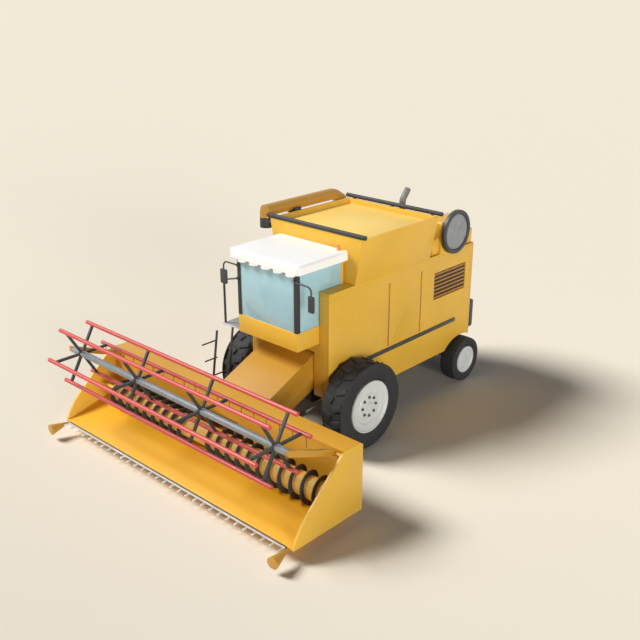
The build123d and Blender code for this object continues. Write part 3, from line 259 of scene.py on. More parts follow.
def paint(name, colour, roughness=0.42, edge=0.5, dust=0.16, coat=0.2, pale=1.25, thin=0.9, painted_light=None):
    """Sprayed enamel with clouds, paler edges of wear and painted highlight,
    an optional painted light low down, and dust near the ground.
    """
    material, tree, shader = new_material(name)
    place = add(tree, "TexCoord").outputs["Object"]
    base = srgb(*colour)
    faded = tuple(c * thin for c in base[:3]) + (1.0,)
    rubbed_and_lit = tuple(min(1.0, c * pale) for c in base[:3]) + (1.0,)
    clouds = add(tree, "TexNoise", {"Vector": place, "Scale": CLOUDS, "Detail": 4.0}).outputs["Fac"]
    skin = blend(tree, spread(tree, clouds, 0.35, 0.7), base, faded)
    patches = add(tree, "TexNoise", {"Vector": place, "Scale": PATCHES, "Detail": 3.0}).outputs["Fac"]
    # a paler colour on the edges: partly wear, partly a painted highlight
    rub_and_highlight = times(tree, times(tree, edge_mask(tree, RUB_AND_HIGHLIGHT_WIDTH), spread(tree, patches, 0.3, 0.55)), edge)
    skin = blend(tree, rub_and_highlight, skin, rubbed_and_lit)
    height = add(tree, "SeparateXYZ", {0: place}).outputs["Z"]
    # painted light: a brighter colour towards the bottom, which lifts the header's trough floor
    if painted_light:
        skin = blend(tree, spread(tree, height, PAINTED_LIGHT_TOP, PAINTED_LIGHT_FULL), skin, srgb(*painted_light))
    low = spread(tree, height, DUST_TOP, DUST_FULL)
    mottle = {"Vector": place, "Scale": SOIL, "Detail": 6.0, "Roughness": 0.65}
    soil = add(tree, "TexNoise", mottle).outputs["Fac"]
    grime = times(tree, times(tree, low, spread(tree, soil, 0.42, 0.75)), dust)
    skin = blend(tree, grime, skin, srgb(*DUST))
    rough = add(tree, "MapRange", {"Value": clouds, "To Min": roughness - 0.06, "To Max": roughness + 0.12})
    plug(tree, shader, {"Base Color": skin, "Roughness": rough.outputs["Result"],
                        "Normal": bump(tree, place, PEEL, 0.05),
                        "Coat Weight": coat, "Coat Roughness": 0.18})
    return material


print("dust starts", DUST_TOP, "m up, edges are rubbed", RUB_AND_HIGHLIGHT_WIDTH, "m wide")

# %% Paints
finishes = {
    "yellow_paint": paint("yellow_paint", (231, 181, 58), coat=0.12),
    # the header's brighter colour low down is painted light on its trough floor
    "header_paint": paint("header_paint", (212, 154, 36), edge=0.8, dust=0.03, coat=0.1, painted_light=(236, 173, 25)),
    "ochre_paint": paint("ochre_paint", (196, 144, 44), edge=0.7),
    "cover_paint": paint("cover_paint", (254, 216, 112), edge=0.2, coat=0.1, thin=0.96),
    "auger_paint": paint("auger_paint", (232, 183, 84), roughness=0.55, dust=0.0, coat=0.0),
    "white_paint": paint("white_paint", (255, 255, 254), edge=0.1, pale=1.0, dust=0.0, thin=0.98),
    "rim_paint": paint("rim_paint", (214, 216, 215), edge=0.3, pale=1.1),
    "red_paint": paint("red_paint", (204, 68, 62), edge=0.4, dust=0.0),
    "tube_paint": paint("tube_paint", (186, 138, 50), dust=0.0),
    # painted shade, for the seams' grooves and the louvre's recessed slats
    "recess_shade_paint": paint("recess_shade_paint", (176, 118, 40), edge=0.0, dust=0.0),
    "dark_paint": paint("dark_paint", (47, 49, 50), roughness=0.6, edge=0.6, pale=1.6, coat=0.0),
}
print(len(finishes), "paints mixed")

# %% [markdown]
# ## Rubber, plastic, glass and metal
# Tyre rubber is never pure black: dust fills its pores. Moulded plastic carries a fine
# grain. The cab's tinted glass is mostly a pale blue sheen, with a hint of the seat behind it, so it is
# given a little transparency and a smooth face. Bare metal is a metal with a fine grain and dull spots.

# %% Other finishes
def plain(name, colour, roughness, grain, depth, metallic=0.0, spots=0.12, sockets=None):
    """A single-coloured stuff with a grain, and lighter and darker patches."""
    material, tree, shader = new_material(name)
    place = add(tree, "TexCoord").outputs["Object"]
    base = srgb(*colour)
    dull = tuple(c * (1 - spots) for c in base[:3]) + (1.0,)
    fresh = tuple(min(1.0, c * (1 + spots)) for c in base[:3]) + (1.0,)
    noise = {"Vector": place, "Scale": 6.0, "Detail": 5.0, "Roughness": 0.6}
    patches = add(tree, "TexNoise", noise).outputs["Fac"]
    skin = blend(tree, spread(tree, patches, 0.35, 0.68), dull, fresh)
    rough = add(tree, "MapRange", {"Value": patches, "To Min": roughness - 0.08, "To Max": roughness + 0.08})
    plug(tree, shader, {"Base Color": skin, "Roughness": rough.outputs["Result"], "Metallic": metallic,
                        "Normal": bump(tree, place, grain, depth)})
    plug(tree, shader, sockets or {})
    return material


finishes["rubber"] = plain("rubber", (34, 35, 36), 0.75, 60.0, 0.25, spots=0.2)
finishes["dark_plastic"] = plain("dark_plastic", (60, 62, 63), 0.45, 160.0, 0.12)
finishes["amber_plastic"] = plain("amber_plastic", (222, 138, 48), 0.2, 40.0, 0.02, spots=0.06,
                                  sockets={"Coat Weight": 0.6})
finishes["bare_steel"] = plain("bare_steel", (142, 146, 150), 0.45, 120.0, 0.08, metallic=0.15)
finishes["bright_steel"] = plain("bright_steel", (212, 214, 210), 0.4, 120.0, 0.06, metallic=0.1)
finishes["burnt_steel"] = plain("burnt_steel", (122, 119, 114), 0.55, 80.0, 0.1, metallic=0.1, spots=0.2)
finishes["iron"] = plain("iron", (92, 90, 86), 0.6, 45.0, 0.2, metallic=0.2)
finishes["cab_glass"] = plain("cab_glass", (172, 216, 228), 0.12, 3.0, 0.01, spots=0.03,
                              sockets={"Alpha": 0.84, "Coat Weight": 0.8, "Coat Roughness": 0.04})
finishes["seat_fabric"] = plain("seat_fabric", (58, 60, 64), 0.85, 400.0, 0.5, sockets={"Sheen Weight": 0.4})
print(len(finishes), "finishes")

# %% Colour the frame
# pieces whose finish is a shade of their slot's
SHADES = {"header_trough": "header_paint", "header_ends": "yellow_paint", "divider_cones": "ochre_paint",
          "auger_tube": "auger_paint", "knife_bar": "iron", "exhaust_pipe": "burnt_steel"}
for node, thing in frame["nodes"].items():
    thing.data.materials.clear()
    thing.data.materials.append(finishes[SHADES.get(node, slots[node])])
print(len(frame["nodes"]), "frame pieces coloured")

# %% [markdown]
# ## Hands-on helpers
# The next cells model pieces much as one would by hand: add a primitive, shape it in edit mode, finish it
# with modifiers. `only` selects one thing. `settle` names a finished piece, brings its object to the
# origin and hangs it on its moving body. `soften` rounds the hard edges, since every pressed or welded
# sheet has a small radius that catches the light.

# %% Selecting, settling and softening
def only(thing):
    """Select one thing and make it the active one."""
    bpy.ops.object.select_all(action="DESELECT")
    thing.select_set(True)
    bpy.context.view_layer.objects.active = thing
    return thing


def settle(piece, name, body, finish, stands_for=(), shade=None):
    """Name a finished piece, put its object at the origin and hang it on a body."""
    only(piece)
    bpy.ops.object.transform_apply(location=True, rotation=True, scale=True)
    piece.name = name
    piece.data.materials.clear()
    piece.data.materials.append(finishes[shade or finish])
    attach(piece, body)
    if stands_for:
        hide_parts(*stands_for)
    return piece


def smooth(piece, angle=30):
    """Shade a piece smooth, except over edges sharper than an angle."""
    only(piece)
    bpy.ops.object.shade_smooth_by_angle(angle=math.radians(angle))
    return piece


def soften(piece, width, segments=2, angle=32):
    """Round the edges that are sharper than an angle, and shade the rest smooth."""
    only(piece)
    rounding = piece.modifiers.new("rounding", "BEVEL")
    rounding.width = width
    rounding.segments = segments
    rounding.limit_method = "ANGLE"
    rounding.angle_limit = math.radians(angle)
    bpy.ops.object.modifier_apply(modifier=rounding.name)
    return smooth(piece, 40)


# %% [markdown]
# ## Copies and mirror images
# Most of this machine is the same on its left and right. A piece is modelled once, on the left, and its
# mirror image is a copy whose faces are turned the right way out again. What comes in rows, such as bolts
# and tines, is modelled once too, and `repeated` sets its copies out. `lifted` takes a copy of one of the
# frame's own pieces and merges its loose triangles back into whole faces, ready to be shaped.

# %% Copying, joining and mirroring
FLIP = Matrix.Scale(-1, 4, (1, 0, 0))
BOTH = (("left", Matrix.Identity(4)), ("right", FLIP))


def lifted(node, name):
    """A merged copy of a frame piece's mesh, to be shaped further."""
    piece = bpy.data.objects.new(name, frame["nodes"][node].data.copy())
    bpy.context.scene.collection.objects.link(piece)
    only(piece)
    bpy.ops.object.mode_set(mode="EDIT")
    bpy.ops.mesh.select_all(action="SELECT")
    bpy.ops.mesh.remove_doubles(threshold=0.00002)
    bpy.ops.mesh.dissolve_limited(angle_limit=math.radians(0.6))
    bpy.ops.object.mode_set(mode="OBJECT")
    return piece


def joined(pieces):
    """Join several pieces into the first one."""
    bpy.ops.object.select_all(action="DESELECT")
    for piece in pieces:
        piece.select_set(True)
    bpy.context.view_layer.objects.active = pieces[0]
    bpy.ops.object.join()
    return bpy.context.object


def copy_of(piece, matrix):
    """A copy with its own mesh, moved by a matrix."""
    twin = bpy.data.objects.new(piece.name, piece.data.copy())
    twin.data.transform(matrix)
    if matrix.determinant() < 0:
        twin.data.flip_normals()
    bpy.context.scene.collection.objects.link(twin)
    return twin


def discard(*patterns):
    """Remove patterns whose copies are all made."""
    for pattern in patterns:
        bpy.data.objects.remove(pattern)


def repeated(pattern, places):
    """Copies of a pattern, moved to each place. The pattern itself is removed."""
    copies = [copy_of(pattern, Matrix.Translation(place)) for place in places]
    discard(pattern)
    return copies


print("mirror images are made for", ", ".join(side for side, _ in BOTH))

# %% [markdown]
# ## Turned forms and boxes
# Two starting forms give nearly every added piece. `turned` works like a lathe: a disc is extruded and
# scaled from one station to the next along an axis, which suits tyres, rims, tubes and bolts. `slab` is a
# box between two corners with its edges rounded, which suits plates, lenses and handles.

# %% Lathe and box
TURN = {"X": (0, math.pi / 2, 0), "Y": (-math.pi / 2, 0, 0), "Z": (0, 0, 0)}
ALONG = {"X": Vector((1, 0, 0)), "Y": Vector((0, 1, 0)), "Z": Vector((0, 0, 1))}


def turned(stations, centre=(0, 0, 0), axis="X", sides=48, hollow=False):
    """A turned form. stations: (place along the axis, radius). hollow closes it on itself."""
    along, centre = ALONG[axis], Vector(centre)
    place, radius = stations[0]
    bpy.ops.object.select_all(action="DESELECT")
    bpy.ops.mesh.primitive_circle_add(vertices=sides, radius=radius,
                                      fill_type="NOTHING" if hollow else "NGON",
                                      location=centre + along * place, rotation=TURN[axis])
    piece = bpy.context.object
    bpy.ops.object.mode_set(mode="EDIT")
    bpy.ops.mesh.select_mode(type="VERT")
    bpy.ops.mesh.select_all(action="SELECT")
    for new_place, new_radius in stations[1:]:
        step = along * (new_place - place)
        bpy.ops.mesh.extrude_region_move(TRANSFORM_OT_translate={"value": step})
        ratio = new_radius / radius
        bpy.ops.transform.resize(value=(ratio, ratio, ratio), center_override=centre + along * new_place)
        place, radius = new_place, new_radius
    bpy.ops.mesh.select_all(action="SELECT")
    bpy.ops.mesh.remove_doubles(threshold=0.00005)
    bpy.ops.mesh.normals_make_consistent(inside=False)
    bpy.ops.object.mode_set(mode="OBJECT")
    bpy.ops.object.transform_apply(location=True, rotation=True, scale=True)
    return piece


def slab(low, high, round_by=0.004, segments=2):
    """A box between two corners with rounded edges."""
    low, high = Vector(low), Vector(high)
    bpy.ops.object.select_all(action="DESELECT")
    bpy.ops.mesh.primitive_cube_add(size=1, location=(low + high) / 2, scale=high - low)
    piece = bpy.context.object
    bpy.ops.object.transform_apply(location=True, rotation=True, scale=True)
    return soften(piece, round_by, segments)


print("lathe and box ready, axes", ", ".join(TURN))

# %% [markdown]
# ## Sheet metal with soft edges
# No pressed or welded panel has a razor edge. Each piece of the frame that is right in shape is copied,
# its loose triangles are merged back into whole faces, and its sharp edges get a small round that takes
# the light. The width is chosen for each piece: generous on moulded covers, tight on bars and pins.

# %% Soften the frame's own pieces
# width of the round in metres, pieces that get it
SOFT = (
    (0.013, "tank_cover engine_cover cab_base side_mouldings rear_lamp_boxes rear_hood front_bulkhead"),
    (0.011, "header_ends feeder_house screen_housing"),
    (0.008, "body_top header_trough reel_arms cab_frame drive_axle rear_axle divider_cones"),
    (0.004, "side_panel_left side_panel_right grain_tank"),
    (0.005, "cab_door tank_bars unload_elbow lift_barrels chassis_frame belly_pan tow_hitch engine_block"),
    (0.003, "cab_glazing door_glass mirrors beacon reel_shaft reel_spiders knuckle_left"),
    (0.003, "knuckle_right ladder exhaust_pipe lift_rods steering_console auger_tube grille_backings"),
)
soft = []
for width, names in SOFT:
    for node in names.split():
        piece = soften(lifted(node, node + "_soft"), width)
        soft.append(settle(piece, node + "_soft", body_of[node], slots[node], (node,), SHADES.get(node)))
print(len(soft), "pieces softened,", sum(len(piece.data.polygons) for piece in soft), "faces")

# %% [markdown]
# ## The drive tyre's carcass
# A farm drive tyre is a smooth round carcass with two rows of slanting bars that stand well proud of it.
# The outer shoulder is as high as the bars, so that the wheel looks round from its own side. The carcass
# is turned on the axle from its own cross-section, in two halves that meet in the middle of the tread.

# %% Drive tyre carcass
low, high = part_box("front_tyre_left")
TYRE = (low + high) / 2
TYRE_R, TYRE_HALF = (high.z - low.z) / 2, (high.x - low.x) / 2
rim_low, rim_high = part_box("front_rim_left")
RIM_R = (rim_high.z - rim_low.z) / 2


def carcass(centre, radius, half, rim):
    """A tyre's body: beads, bulging walls, an outer shoulder as high as the bars and a lower tread."""
    rise = radius - rim
    # share of the half width, radius
    wall = [(0.86, rim + 0.003), (0.955, rim + 0.03), (0.995, rim + rise * 0.34), (1.0, rim + rise * 0.56)]
    outer = [(0.99, rim + rise * 0.80), (0.97, radius - 0.026), (0.94, radius - 0.012),
             (0.89, radius - 0.006), (0.845, radius - 0.012), (0.81, radius - 0.040), (0.4, radius - 0.036)]
    inner = [(0.975, rim + rise * 0.74), (0.93, radius - 0.062), (0.86, radius - 0.046),
             (0.4, radius - 0.036)]
    stations = [(-half * across, r) for across, r in wall + inner]
    stations += [(half * across, r) for across, r in reversed(wall + outer)]
    return smooth(turned(stations + [stations[0]], centre, sides=96, hollow=True), 50)


body = carcass(TYRE, TYRE_R, TYRE_HALF, RIM_R)
print("drive tyre", round(TYRE_R, 3), "m radius,", len(body.data.polygons), "faces in its carcass")

# %% [markdown]
# ## The drive tyre's bars
# One bar is shaped from a block: tapered towards its top, its outer end dropped over the shoulder, its
# edges broken. Copies of it are set round the axle, the second row half a step later than the first, and
# each row slants the other way, so that the tread throws the mud outwards.

# %% Tread bar
BARS = 16               # bars in each row
BAR_LONG, BAR_WIDE, BAR_DEEP = 0.214, 0.142, 0.09
BAR_OUT = 0.107         # from the middle of the tread to the middle of a bar
BAR_SWEEP = 20          # slant in degrees
BAR_REACH = 0.116       # half of the ground that a slanting bar's flat top covers, fore and aft
FIRST_BAR = 0.112       # how far the first bar stands from the top of the tyre


def tread_bar(row):
    """One bar of the tread, standing at the top of the left tyre. row: 1 outer, -1 inner."""
    top = math.sqrt(TYRE_R ** 2 - BAR_REACH ** 2) - 0.001
    middle_z = top - BAR_DEEP / 2
    bpy.ops.object.select_all(action="DESELECT")
    bpy.ops.mesh.primitive_cube_add(size=1, location=(0, 0, middle_z), scale=(BAR_LONG, BAR_WIDE, BAR_DEEP))
    bar = bpy.context.object
    bpy.ops.object.transform_apply(location=True, rotation=True, scale=True)
    bpy.ops.object.mode_set(mode="EDIT")
    bpy.ops.mesh.select_mode(type="FACE")
    # the top is made smaller, then the end towards the shoulder is narrowed and dropped
    for facing, resize, drop in (((0, 0, 1), (0.93, 0.82, 1), 0), ((row, 0, 0), (1, 0.86, 1), -0.010)):
        facing = Vector(facing)
        bpy.ops.mesh.select_all(action="DESELECT")
        bpy.ops.object.mode_set(mode="OBJECT")
        for face in bar.data.polygons:
            face.select = face.normal.dot(facing) > 0.9
        bpy.ops.object.mode_set(mode="EDIT")
        pivot = Vector((facing.x * BAR_LONG / 2, 0, top if facing.z else middle_z))
        bpy.ops.transform.resize(value=resize, center_override=pivot)
        bpy.ops.transform.translate(value=(0, 0, drop))
    bpy.ops.object.mode_set(mode="OBJECT")
    soften(bar, 0.007, 2)
    slant = Matrix.Rotation(math.radians(row * BAR_SWEEP), 4, "Z")
    bar.data.transform(Matrix.Translation((TYRE.x + row * BAR_OUT, 0, 0)) @ slant)
    return bar


axle = Matrix.Translation((0, TYRE.y, TYRE.z))
first = math.atan2(FIRST_BAR, math.sqrt(TYRE_R ** 2 - FIRST_BAR ** 2))
bars = []
for row, shift in ((1, 0.0), (-1, 0.5)):
    pattern = tread_bar(row)
    for i in range(BARS):
        turn = Matrix.Rotation(first + math.tau / BARS * (i + shift), 4, "X")
        bars.append(copy_of(pattern, axle @ turn))
    discard(pattern)
tread = joined(bars)
print(2 * BARS, "bars,", len(tread.data.polygons), "faces in the tread")

# %% Hang the drive tyres
for side, mirror in BOTH:
    wheel = "wheel_front_" + side
    settle(copy_of(body, mirror), "drive_tyre_body_" + side, wheel, "rubber", ("front_tyre_" + side,))
    settle(copy_of(tread, mirror), "drive_tyre_bars_" + side, wheel, "rubber", ("front_tyre_" + side,))
discard(body, tread)
print("drive tyres hang on wheel_front_left and wheel_front_right")

# %% [markdown]
# ## Steering tyres
# The small rear tyres only steer, so they have a plain rib tread: three grooves run right round. They are
# turned like the drive tyre, from a cross-section with a narrow step down for each groove.

# %% Steering tyre
GROOVES, GROOVE_DEEP, CROWN_DROP = (-0.52, -0.03, 0.46), 0.012, 0.012
low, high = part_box("rear_tyre_left")
SMALL = (low + high) / 2
SMALL_R, SMALL_HALF = (high.z - low.z) / 2, (high.x - low.x) / 2
rim_low, rim_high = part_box("rear_rim_left")
SMALL_RIM = (rim_high.z - rim_low.z) / 2
# share of the half width, rise above the rim
wall = [(0.86, 0.003), (0.96, 0.03), (1.0, 0.07), (0.985, 0.11)]
stations = [(-SMALL_HALF * across, SMALL_RIM + up) for across, up in wall]
for across in (-0.9, -0.52, -0.46, -0.03, 0.03, 0.46, 0.52, 0.9):
    crown = SMALL_R - CROWN_DROP * across ** 4
    stations.append((SMALL_HALF * across, crown))
    if across in GROOVES:
        stations += [(SMALL_HALF * (across + ahead), crown - GROOVE_DEEP) for ahead in (0.01, 0.05)]
stations += [(SMALL_HALF * across, SMALL_RIM + up) for across, up in reversed(wall)]
tyre = smooth(turned(stations + [stations[0]], SMALL, sides=96, hollow=True), 40)
for side, mirror in BOTH:
    settle(copy_of(tyre, mirror), "steer_tyre_" + side, "wheel_rear_" + side, "rubber", ("rear_tyre_" + side,))
discard(tyre)
print("steering tyre", round(SMALL_R, 3), "m radius with", len(GROOVES), "grooves")

# %% [markdown]
# ## Rims
# A rim is pressed and rolled, so it is one turned profile: a raised lip, a stepped dish, a flat with the
# wheel bolts, and a hub cap. The bolts are hexagonal with a round flange. The big front ones are dark
# with oil and dust and show clearly on the pale paint, and the rear ones were sprayed with their rim. The
# profile starts at the cap and runs over the lip to the inner side.

# %% Rim and its bolts
def wheel_rim(node, bolts, circle, bolt_r, dish, cap):
    """A turned rim and its bolts, for the left wheel."""
    low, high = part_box(node)
    centre = (low + high) / 2
    centre.x = high.x
    radius, depth = (high.z - low.z) / 2, high.x - low.x
    face = -dish
    profile = [(face + 0.028, cap * 0.7), (face + 0.024, cap), (face + 0.004, cap * 1.12), (face, cap * 1.2),
               (face, circle * 1.32), (face - 0.012, circle * 1.42), (face - 0.012, radius * 0.66),
               (face + 0.006, radius * 0.7), (face + 0.006, radius * 0.86), (face + 0.02, radius * 0.92),
               (-0.006, radius * 0.945), (0.0, radius * 0.96), (0.0, radius * 0.99), (-0.006, radius - 0.001),
               (-depth, radius - 0.001), (-depth, radius - 0.02), (face - 0.05, radius - 0.024),
               (face - 0.05, cap * 1.3), (-depth * 0.6, cap * 1.3)]
    rim = smooth(turned(profile, centre, sides=96), 28)
    flange = turned([(-0.004, bolt_r), (0.006, bolt_r), (0.008, bolt_r * 0.9)], sides=20)
    head = turned([(0.004, bolt_r * 0.72), (0.024, bolt_r * 0.72), (0.028, bolt_r * 0.55)], sides=6)
    bolt = joined([smooth(flange, 30), smooth(head, 20)])
    turns = [math.tau * i / bolts for i in range(bolts)]
    spots = [centre + Vector((face, circle * math.sin(turn), circle * math.cos(turn))) for turn in turns]
    return rim, joined(repeated(bolt, spots))


# end, number of bolts, their circle, a bolt's radius, depth of the dish, radius of the cap, bolts' finish
WHEELS = (
    ("front", 8, 0.166, 0.028, 0.042, 0.070, "iron"),
    ("rear", 6, 0.088, 0.013, 0.032, 0.040, "rim_paint"),
)
for end, bolts, circle, bolt_r, dish, cap, bolt_finish in WHEELS:
    rim, nuts = wheel_rim(end + "_rim_left", bolts, circle, bolt_r, dish, cap)
    for side, mirror in BOTH:
        wheel = f"wheel_{end}_{side}"
        settle(copy_of(rim, mirror), f"{end}_wheel_rim_{side}", wheel, "rim_paint", (f"{end}_rim_{side}",))
        settle(copy_of(nuts, mirror), f"{end}_wheel_bolts_{side}", wheel, bolt_finish)
    discard(rim, nuts)
    print(end, "rims with", bolts, "bolts each")

# %% [markdown]
# ## The header auger
# The auger's ribbon is a steel strip wound round the tube, with a rounded worn rim. Its cross-section is
# drawn once, a bead on a thin web, and the Screw modifier winds it along the tube. Left and right ribbons
# are wound opposite ways, so that both push the crop to the middle.

# %% Auger ribbon
PITCH = 0.224           # along the tube for each turn
GAP = 0.290             # bare tube on each side of the middle
BEAD, WEB = 0.008, 0.004            # radius of the bead, half thickness of the web
STEPS = 44              # facets in each turn
low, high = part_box("auger_flights")
tube_low, tube_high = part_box("auger_tube")
TUBE_R = (tube_high.z - tube_low.z) / 2
RIBBON_R, AUGER = (high.z - low.z) / 2 - BEAD, (low + high) / 2


def ribbon(length):
    """A ribbon wound round the X axis from 0 to a length."""
    half_way = (0, 0, (TUBE_R + RIBBON_R) / 2)
    bpy.ops.object.select_all(action="DESELECT")
    bpy.ops.mesh.primitive_circle_add(vertices=10, radius=BEAD, location=(0, 0, RIBBON_R), rotation=TURN["Y"])
    bead = bpy.context.object
    bpy.ops.object.select_all(action="DESELECT")
    bpy.ops.mesh.primitive_plane_add(size=1, location=half_way, rotation=TURN["Y"])
    web = bpy.context.object
    bpy.ops.object.transform_apply(location=True, rotation=True, scale=True)
    bpy.ops.transform.resize(value=(2 * WEB, 1, RIBBON_R - TUBE_R), center_override=half_way)
    for shape in (bead, web):
        only(shape)
        bpy.ops.object.transform_apply(location=True, rotation=True, scale=True)
        if len(shape.data.polygons):
            bpy.ops.object.mode_set(mode="EDIT")
            bpy.ops.mesh.select_all(action="SELECT")
            bpy.ops.mesh.delete(type="ONLY_FACE")
            bpy.ops.object.mode_set(mode="OBJECT")
    strip = joined([bead, web])
    winding = strip.modifiers.new("winding", "SCREW")
    winding.axis, winding.angle = "X", math.tau * length / PITCH
    winding.screw_offset, winding.iterations = length, 1
    winding.steps = winding.render_steps = round(STEPS * length / PITCH)
    winding.use_merge_vertices = False
    only(strip)
    bpy.ops.object.modifier_apply(modifier=winding.name)
    # close both ends of the wound strip
    bpy.ops.object.mode_set(mode="EDIT")
    bpy.ops.mesh.select_all(action="SELECT")
    bpy.ops.mesh.select_mode(type="EDGE")
    bpy.ops.mesh.select_all(action="DESELECT")
    bpy.ops.mesh.select_non_manifold()
    bpy.ops.mesh.edge_face_add()
    bpy.ops.mesh.select_all(action="SELECT")
    bpy.ops.mesh.normals_make_consistent(inside=False)
    bpy.ops.object.mode_set(mode="OBJECT")
    return smooth(strip, 50)


start = Matrix.Translation((GAP, AUGER.y, AUGER.z))
left = ribbon(high.x - BEAD - GAP)
left.data.transform(start)
right = ribbon(-low.x - BEAD - GAP)
right.data.transform(FLIP @ start)
right.data.flip_normals()
ribbons = joined([left, right])
settle(ribbons, "auger_ribbons", "auger", "dark_paint", ("auger_flights",))
print("ribbons", len(ribbons.data.polygons), "faces, box", [round(v, 3) for v in ribbons.bound_box[0]])

# %% [markdown]
# ## The knife
# The cutter bar is a dark back with a bright wear strip along its front edge, and a row of pale cast
# fingers that reach ahead and guard the knife. One finger is a short turned cone, copied along the bar.

# %% Knife bar
FINGERS, FINGER_STEP, FINGER_LONG = 30, 0.180, 0.095
low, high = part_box("knife_bar")
edge_y = low.y + FINGER_LONG
back = slab((low.x, edge_y + 0.010, low.z), (high.x, high.y, low.z + 0.018), 0.003)
settle(back, "knife_back", "header", "bare_steel", ("knife_bar",), "iron")
strip = slab((low.x, edge_y, low.z), (high.x, edge_y + 0.018, high.z), 0.004)
finger = smooth(turned([(0, 0.012), (-0.06, 0.015), (-0.088, 0.013), (-0.0965, 0.006)], axis="Y", sides=10), 50)
root_y, root_z = edge_y + 0.002, low.z + 0.0152
fingers = repeated(finger, [((i - (FINGERS - 1) / 2) * FINGER_STEP, root_y, root_z) for i in range(FINGERS)])
settle(joined([strip] + fingers), "knife_fingers", "header", "bare_steel", ("knife_bar",), "bright_steel")
print(FINGERS, "fingers along", round(high.x - low.x, 2), "m of knife")

# %% [markdown]
# ## The reel's bats
# Six painted tubes turn round the reel's shaft. The rearmost one carries plain wire tines, which are too
# thin for paint to stay on.

# %% Bats and tines
BATS, FIRST_BAT = 6, 30             # the first bat's angle in degrees
BAT_CIRCLE, BAT_R = 0.509, 0.033
TINES, TINE_STEP = 19, 0.262
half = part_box("reel_bats")[1].x
hub = middle("reel_shaft")
spots = []
for k in range(BATS):
    turn = math.radians(FIRST_BAT + 60 * k)
    spots.append(Vector((0, hub.y - BAT_CIRCLE * math.sin(turn), hub.z + BAT_CIRCLE * math.cos(turn))))
profile = [(-half, BAT_R - 0.005), (-half + 0.005, BAT_R), (half - 0.005, BAT_R), (half, BAT_R - 0.005)]
bats = repeated(turned(profile, sides=24), spots)
rearmost = max(spots, key=lambda spot: spot.y)
tine = turned([(-0.19, 0.003), (-0.185, 0.005), (-0.02, 0.005)], axis="Z", sides=8)
tines = repeated(tine, [rearmost + Vector(((i - (TINES - 1) / 2) * TINE_STEP, 0, 0)) for i in range(TINES)])
settle(smooth(joined(bats), 40), "bat_tubes", "reel", "red_paint", ("reel_bats",))
settle(smooth(joined(tines), 40), "bat_tines", "reel", "bare_steel", ("reel_bats",), "iron")
print(len(bats), "bats,", len(tines), "tines")

# %% [markdown]
# ## Seams, latches and hinges
# The side of the body is made of service doors. A brown strip lies in each seam, a hair proud of the
# panel: painted shade for the shadow in the seam's groove, so the seam reads as a thin darker line from
# far off. Each door has flush latches near its lower edge and hinge barrels beside its seam, and small
# domed bolts hold the fixed panels. They are modelled once, for the left side, and mirrored.

# %% Seam and louvre shade strips
side_low, side_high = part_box("side_panel_left")
SIDE = side_high.x
SEAMS = [AXLE_Y + y for y in (1.080, 1.985)]
SEAM_FOOT, SEAM_HEAD, SEAM_SHADE_HALF, SEAM_SHADE_PROUD = 1.362, 2.518, 0.020, 0.0015
# painted shade: a brown strip in each seam stands for the shadow in its groove
seam_shade = slab((SIDE - 0.012, -SEAM_SHADE_HALF, SEAM_FOOT), (SIDE + SEAM_SHADE_PROUD, SEAM_SHADE_HALF, SEAM_HEAD), 0.001, 1)
seam_shades = repeated(seam_shade, [(0, y, 0) for y in SEAMS])
# the louvre's slats are covered by brown strips, set a little behind the panel's face: painted shade for the
# recessed slats
LOUVRE_Y, LOUVRE_Z = (AXLE_Y + 2.380, AXLE_Y + 3.370), (1.860, 2.375)
SLATS, SLAT_HALF = 7, 0.015
step = (LOUVRE_Z[1] - LOUVRE_Z[0]) / SLATS
slat = slab((SIDE - 0.013, LOUVRE_Y[0], -SLAT_HALF), (SIDE - 0.008, LOUVRE_Y[1], SLAT_HALF), 0.002)
strips = repeated(slat, [(0, 0, LOUVRE_Z[0] + step * (i + 0.5)) for i in range(SLATS)])
print(len(seam_shades), "seals and", len(strips), "louvre strips on a side")

# %% Latches, hinges and bolts
LATCH_ASIDE = 0.09      # from a seam to the middle of a latch
BOLT_R = 0.011
latch = joined([slab((SIDE - 0.001, -0.034, 1.468), (SIDE + 0.006, 0.034, 1.532), 0.003),
                slab((SIDE + 0.004, -0.022, 1.478), (SIDE + 0.012, 0.022, 1.500), 0.004)])
beside = (SEAMS[0] - LATCH_ASIDE, SEAMS[1] - LATCH_ASIDE, SEAMS[1] + LATCH_ASIDE)
latches = repeated(latch, [(0, y, 0) for y in beside])
barrel = turned([(-0.05, 0.006), (-0.046, 0.009), (0.046, 0.009), (0.05, 0.006)], axis="Z", sides=14)
hinges = repeated(barrel, [(SIDE + 0.004, y - 0.03, z) for y in SEAMS for z in (1.60, 2.34)])
rings = [(0.0, 1.0), (0.003, 0.98), (0.006, 0.8), (0.008, 0.45)]
dome = smooth(turned([(up, BOLT_R * share) for up, share in rings], sides=10), 60)
columns = (side_low.y + 0.06, SEAMS[0] + 0.20, side_high.y - 0.05)
bolts = repeated(dome, [(SIDE, y, z) for y in columns for z in (1.45, 1.80, 2.15, 2.50)])
# name: pieces, finish, slot
KIT = {
    # the louvre strips are painted shade on the recessed slats
    "louvre_shade_strips": (strips, "recess_shade_paint", "tube_paint"),
    # the seam strips are painted shade for the grooves
    "seam_shade_strips": (seam_shades, "recess_shade_paint", "tube_paint"),
    "door_latches": (latches, "yellow_paint", "yellow_paint"),
    "door_hinges": (hinges, "yellow_paint", "yellow_paint"),
    "panel_bolts": (bolts, "yellow_paint", "yellow_paint"),
}
for name, (pieces, finish, slot) in KIT.items():
    left = joined(pieces)
    settle(copy_of(left, FLIP), name + "_right", "machine", slot, (), finish)
    settle(left, name + "_left", "machine", slot, (), finish)
print(len(SEAMS) * 2, "seams sealed,", len(bolts) * 2, "bolts,", len(latches) * 2, "latches")

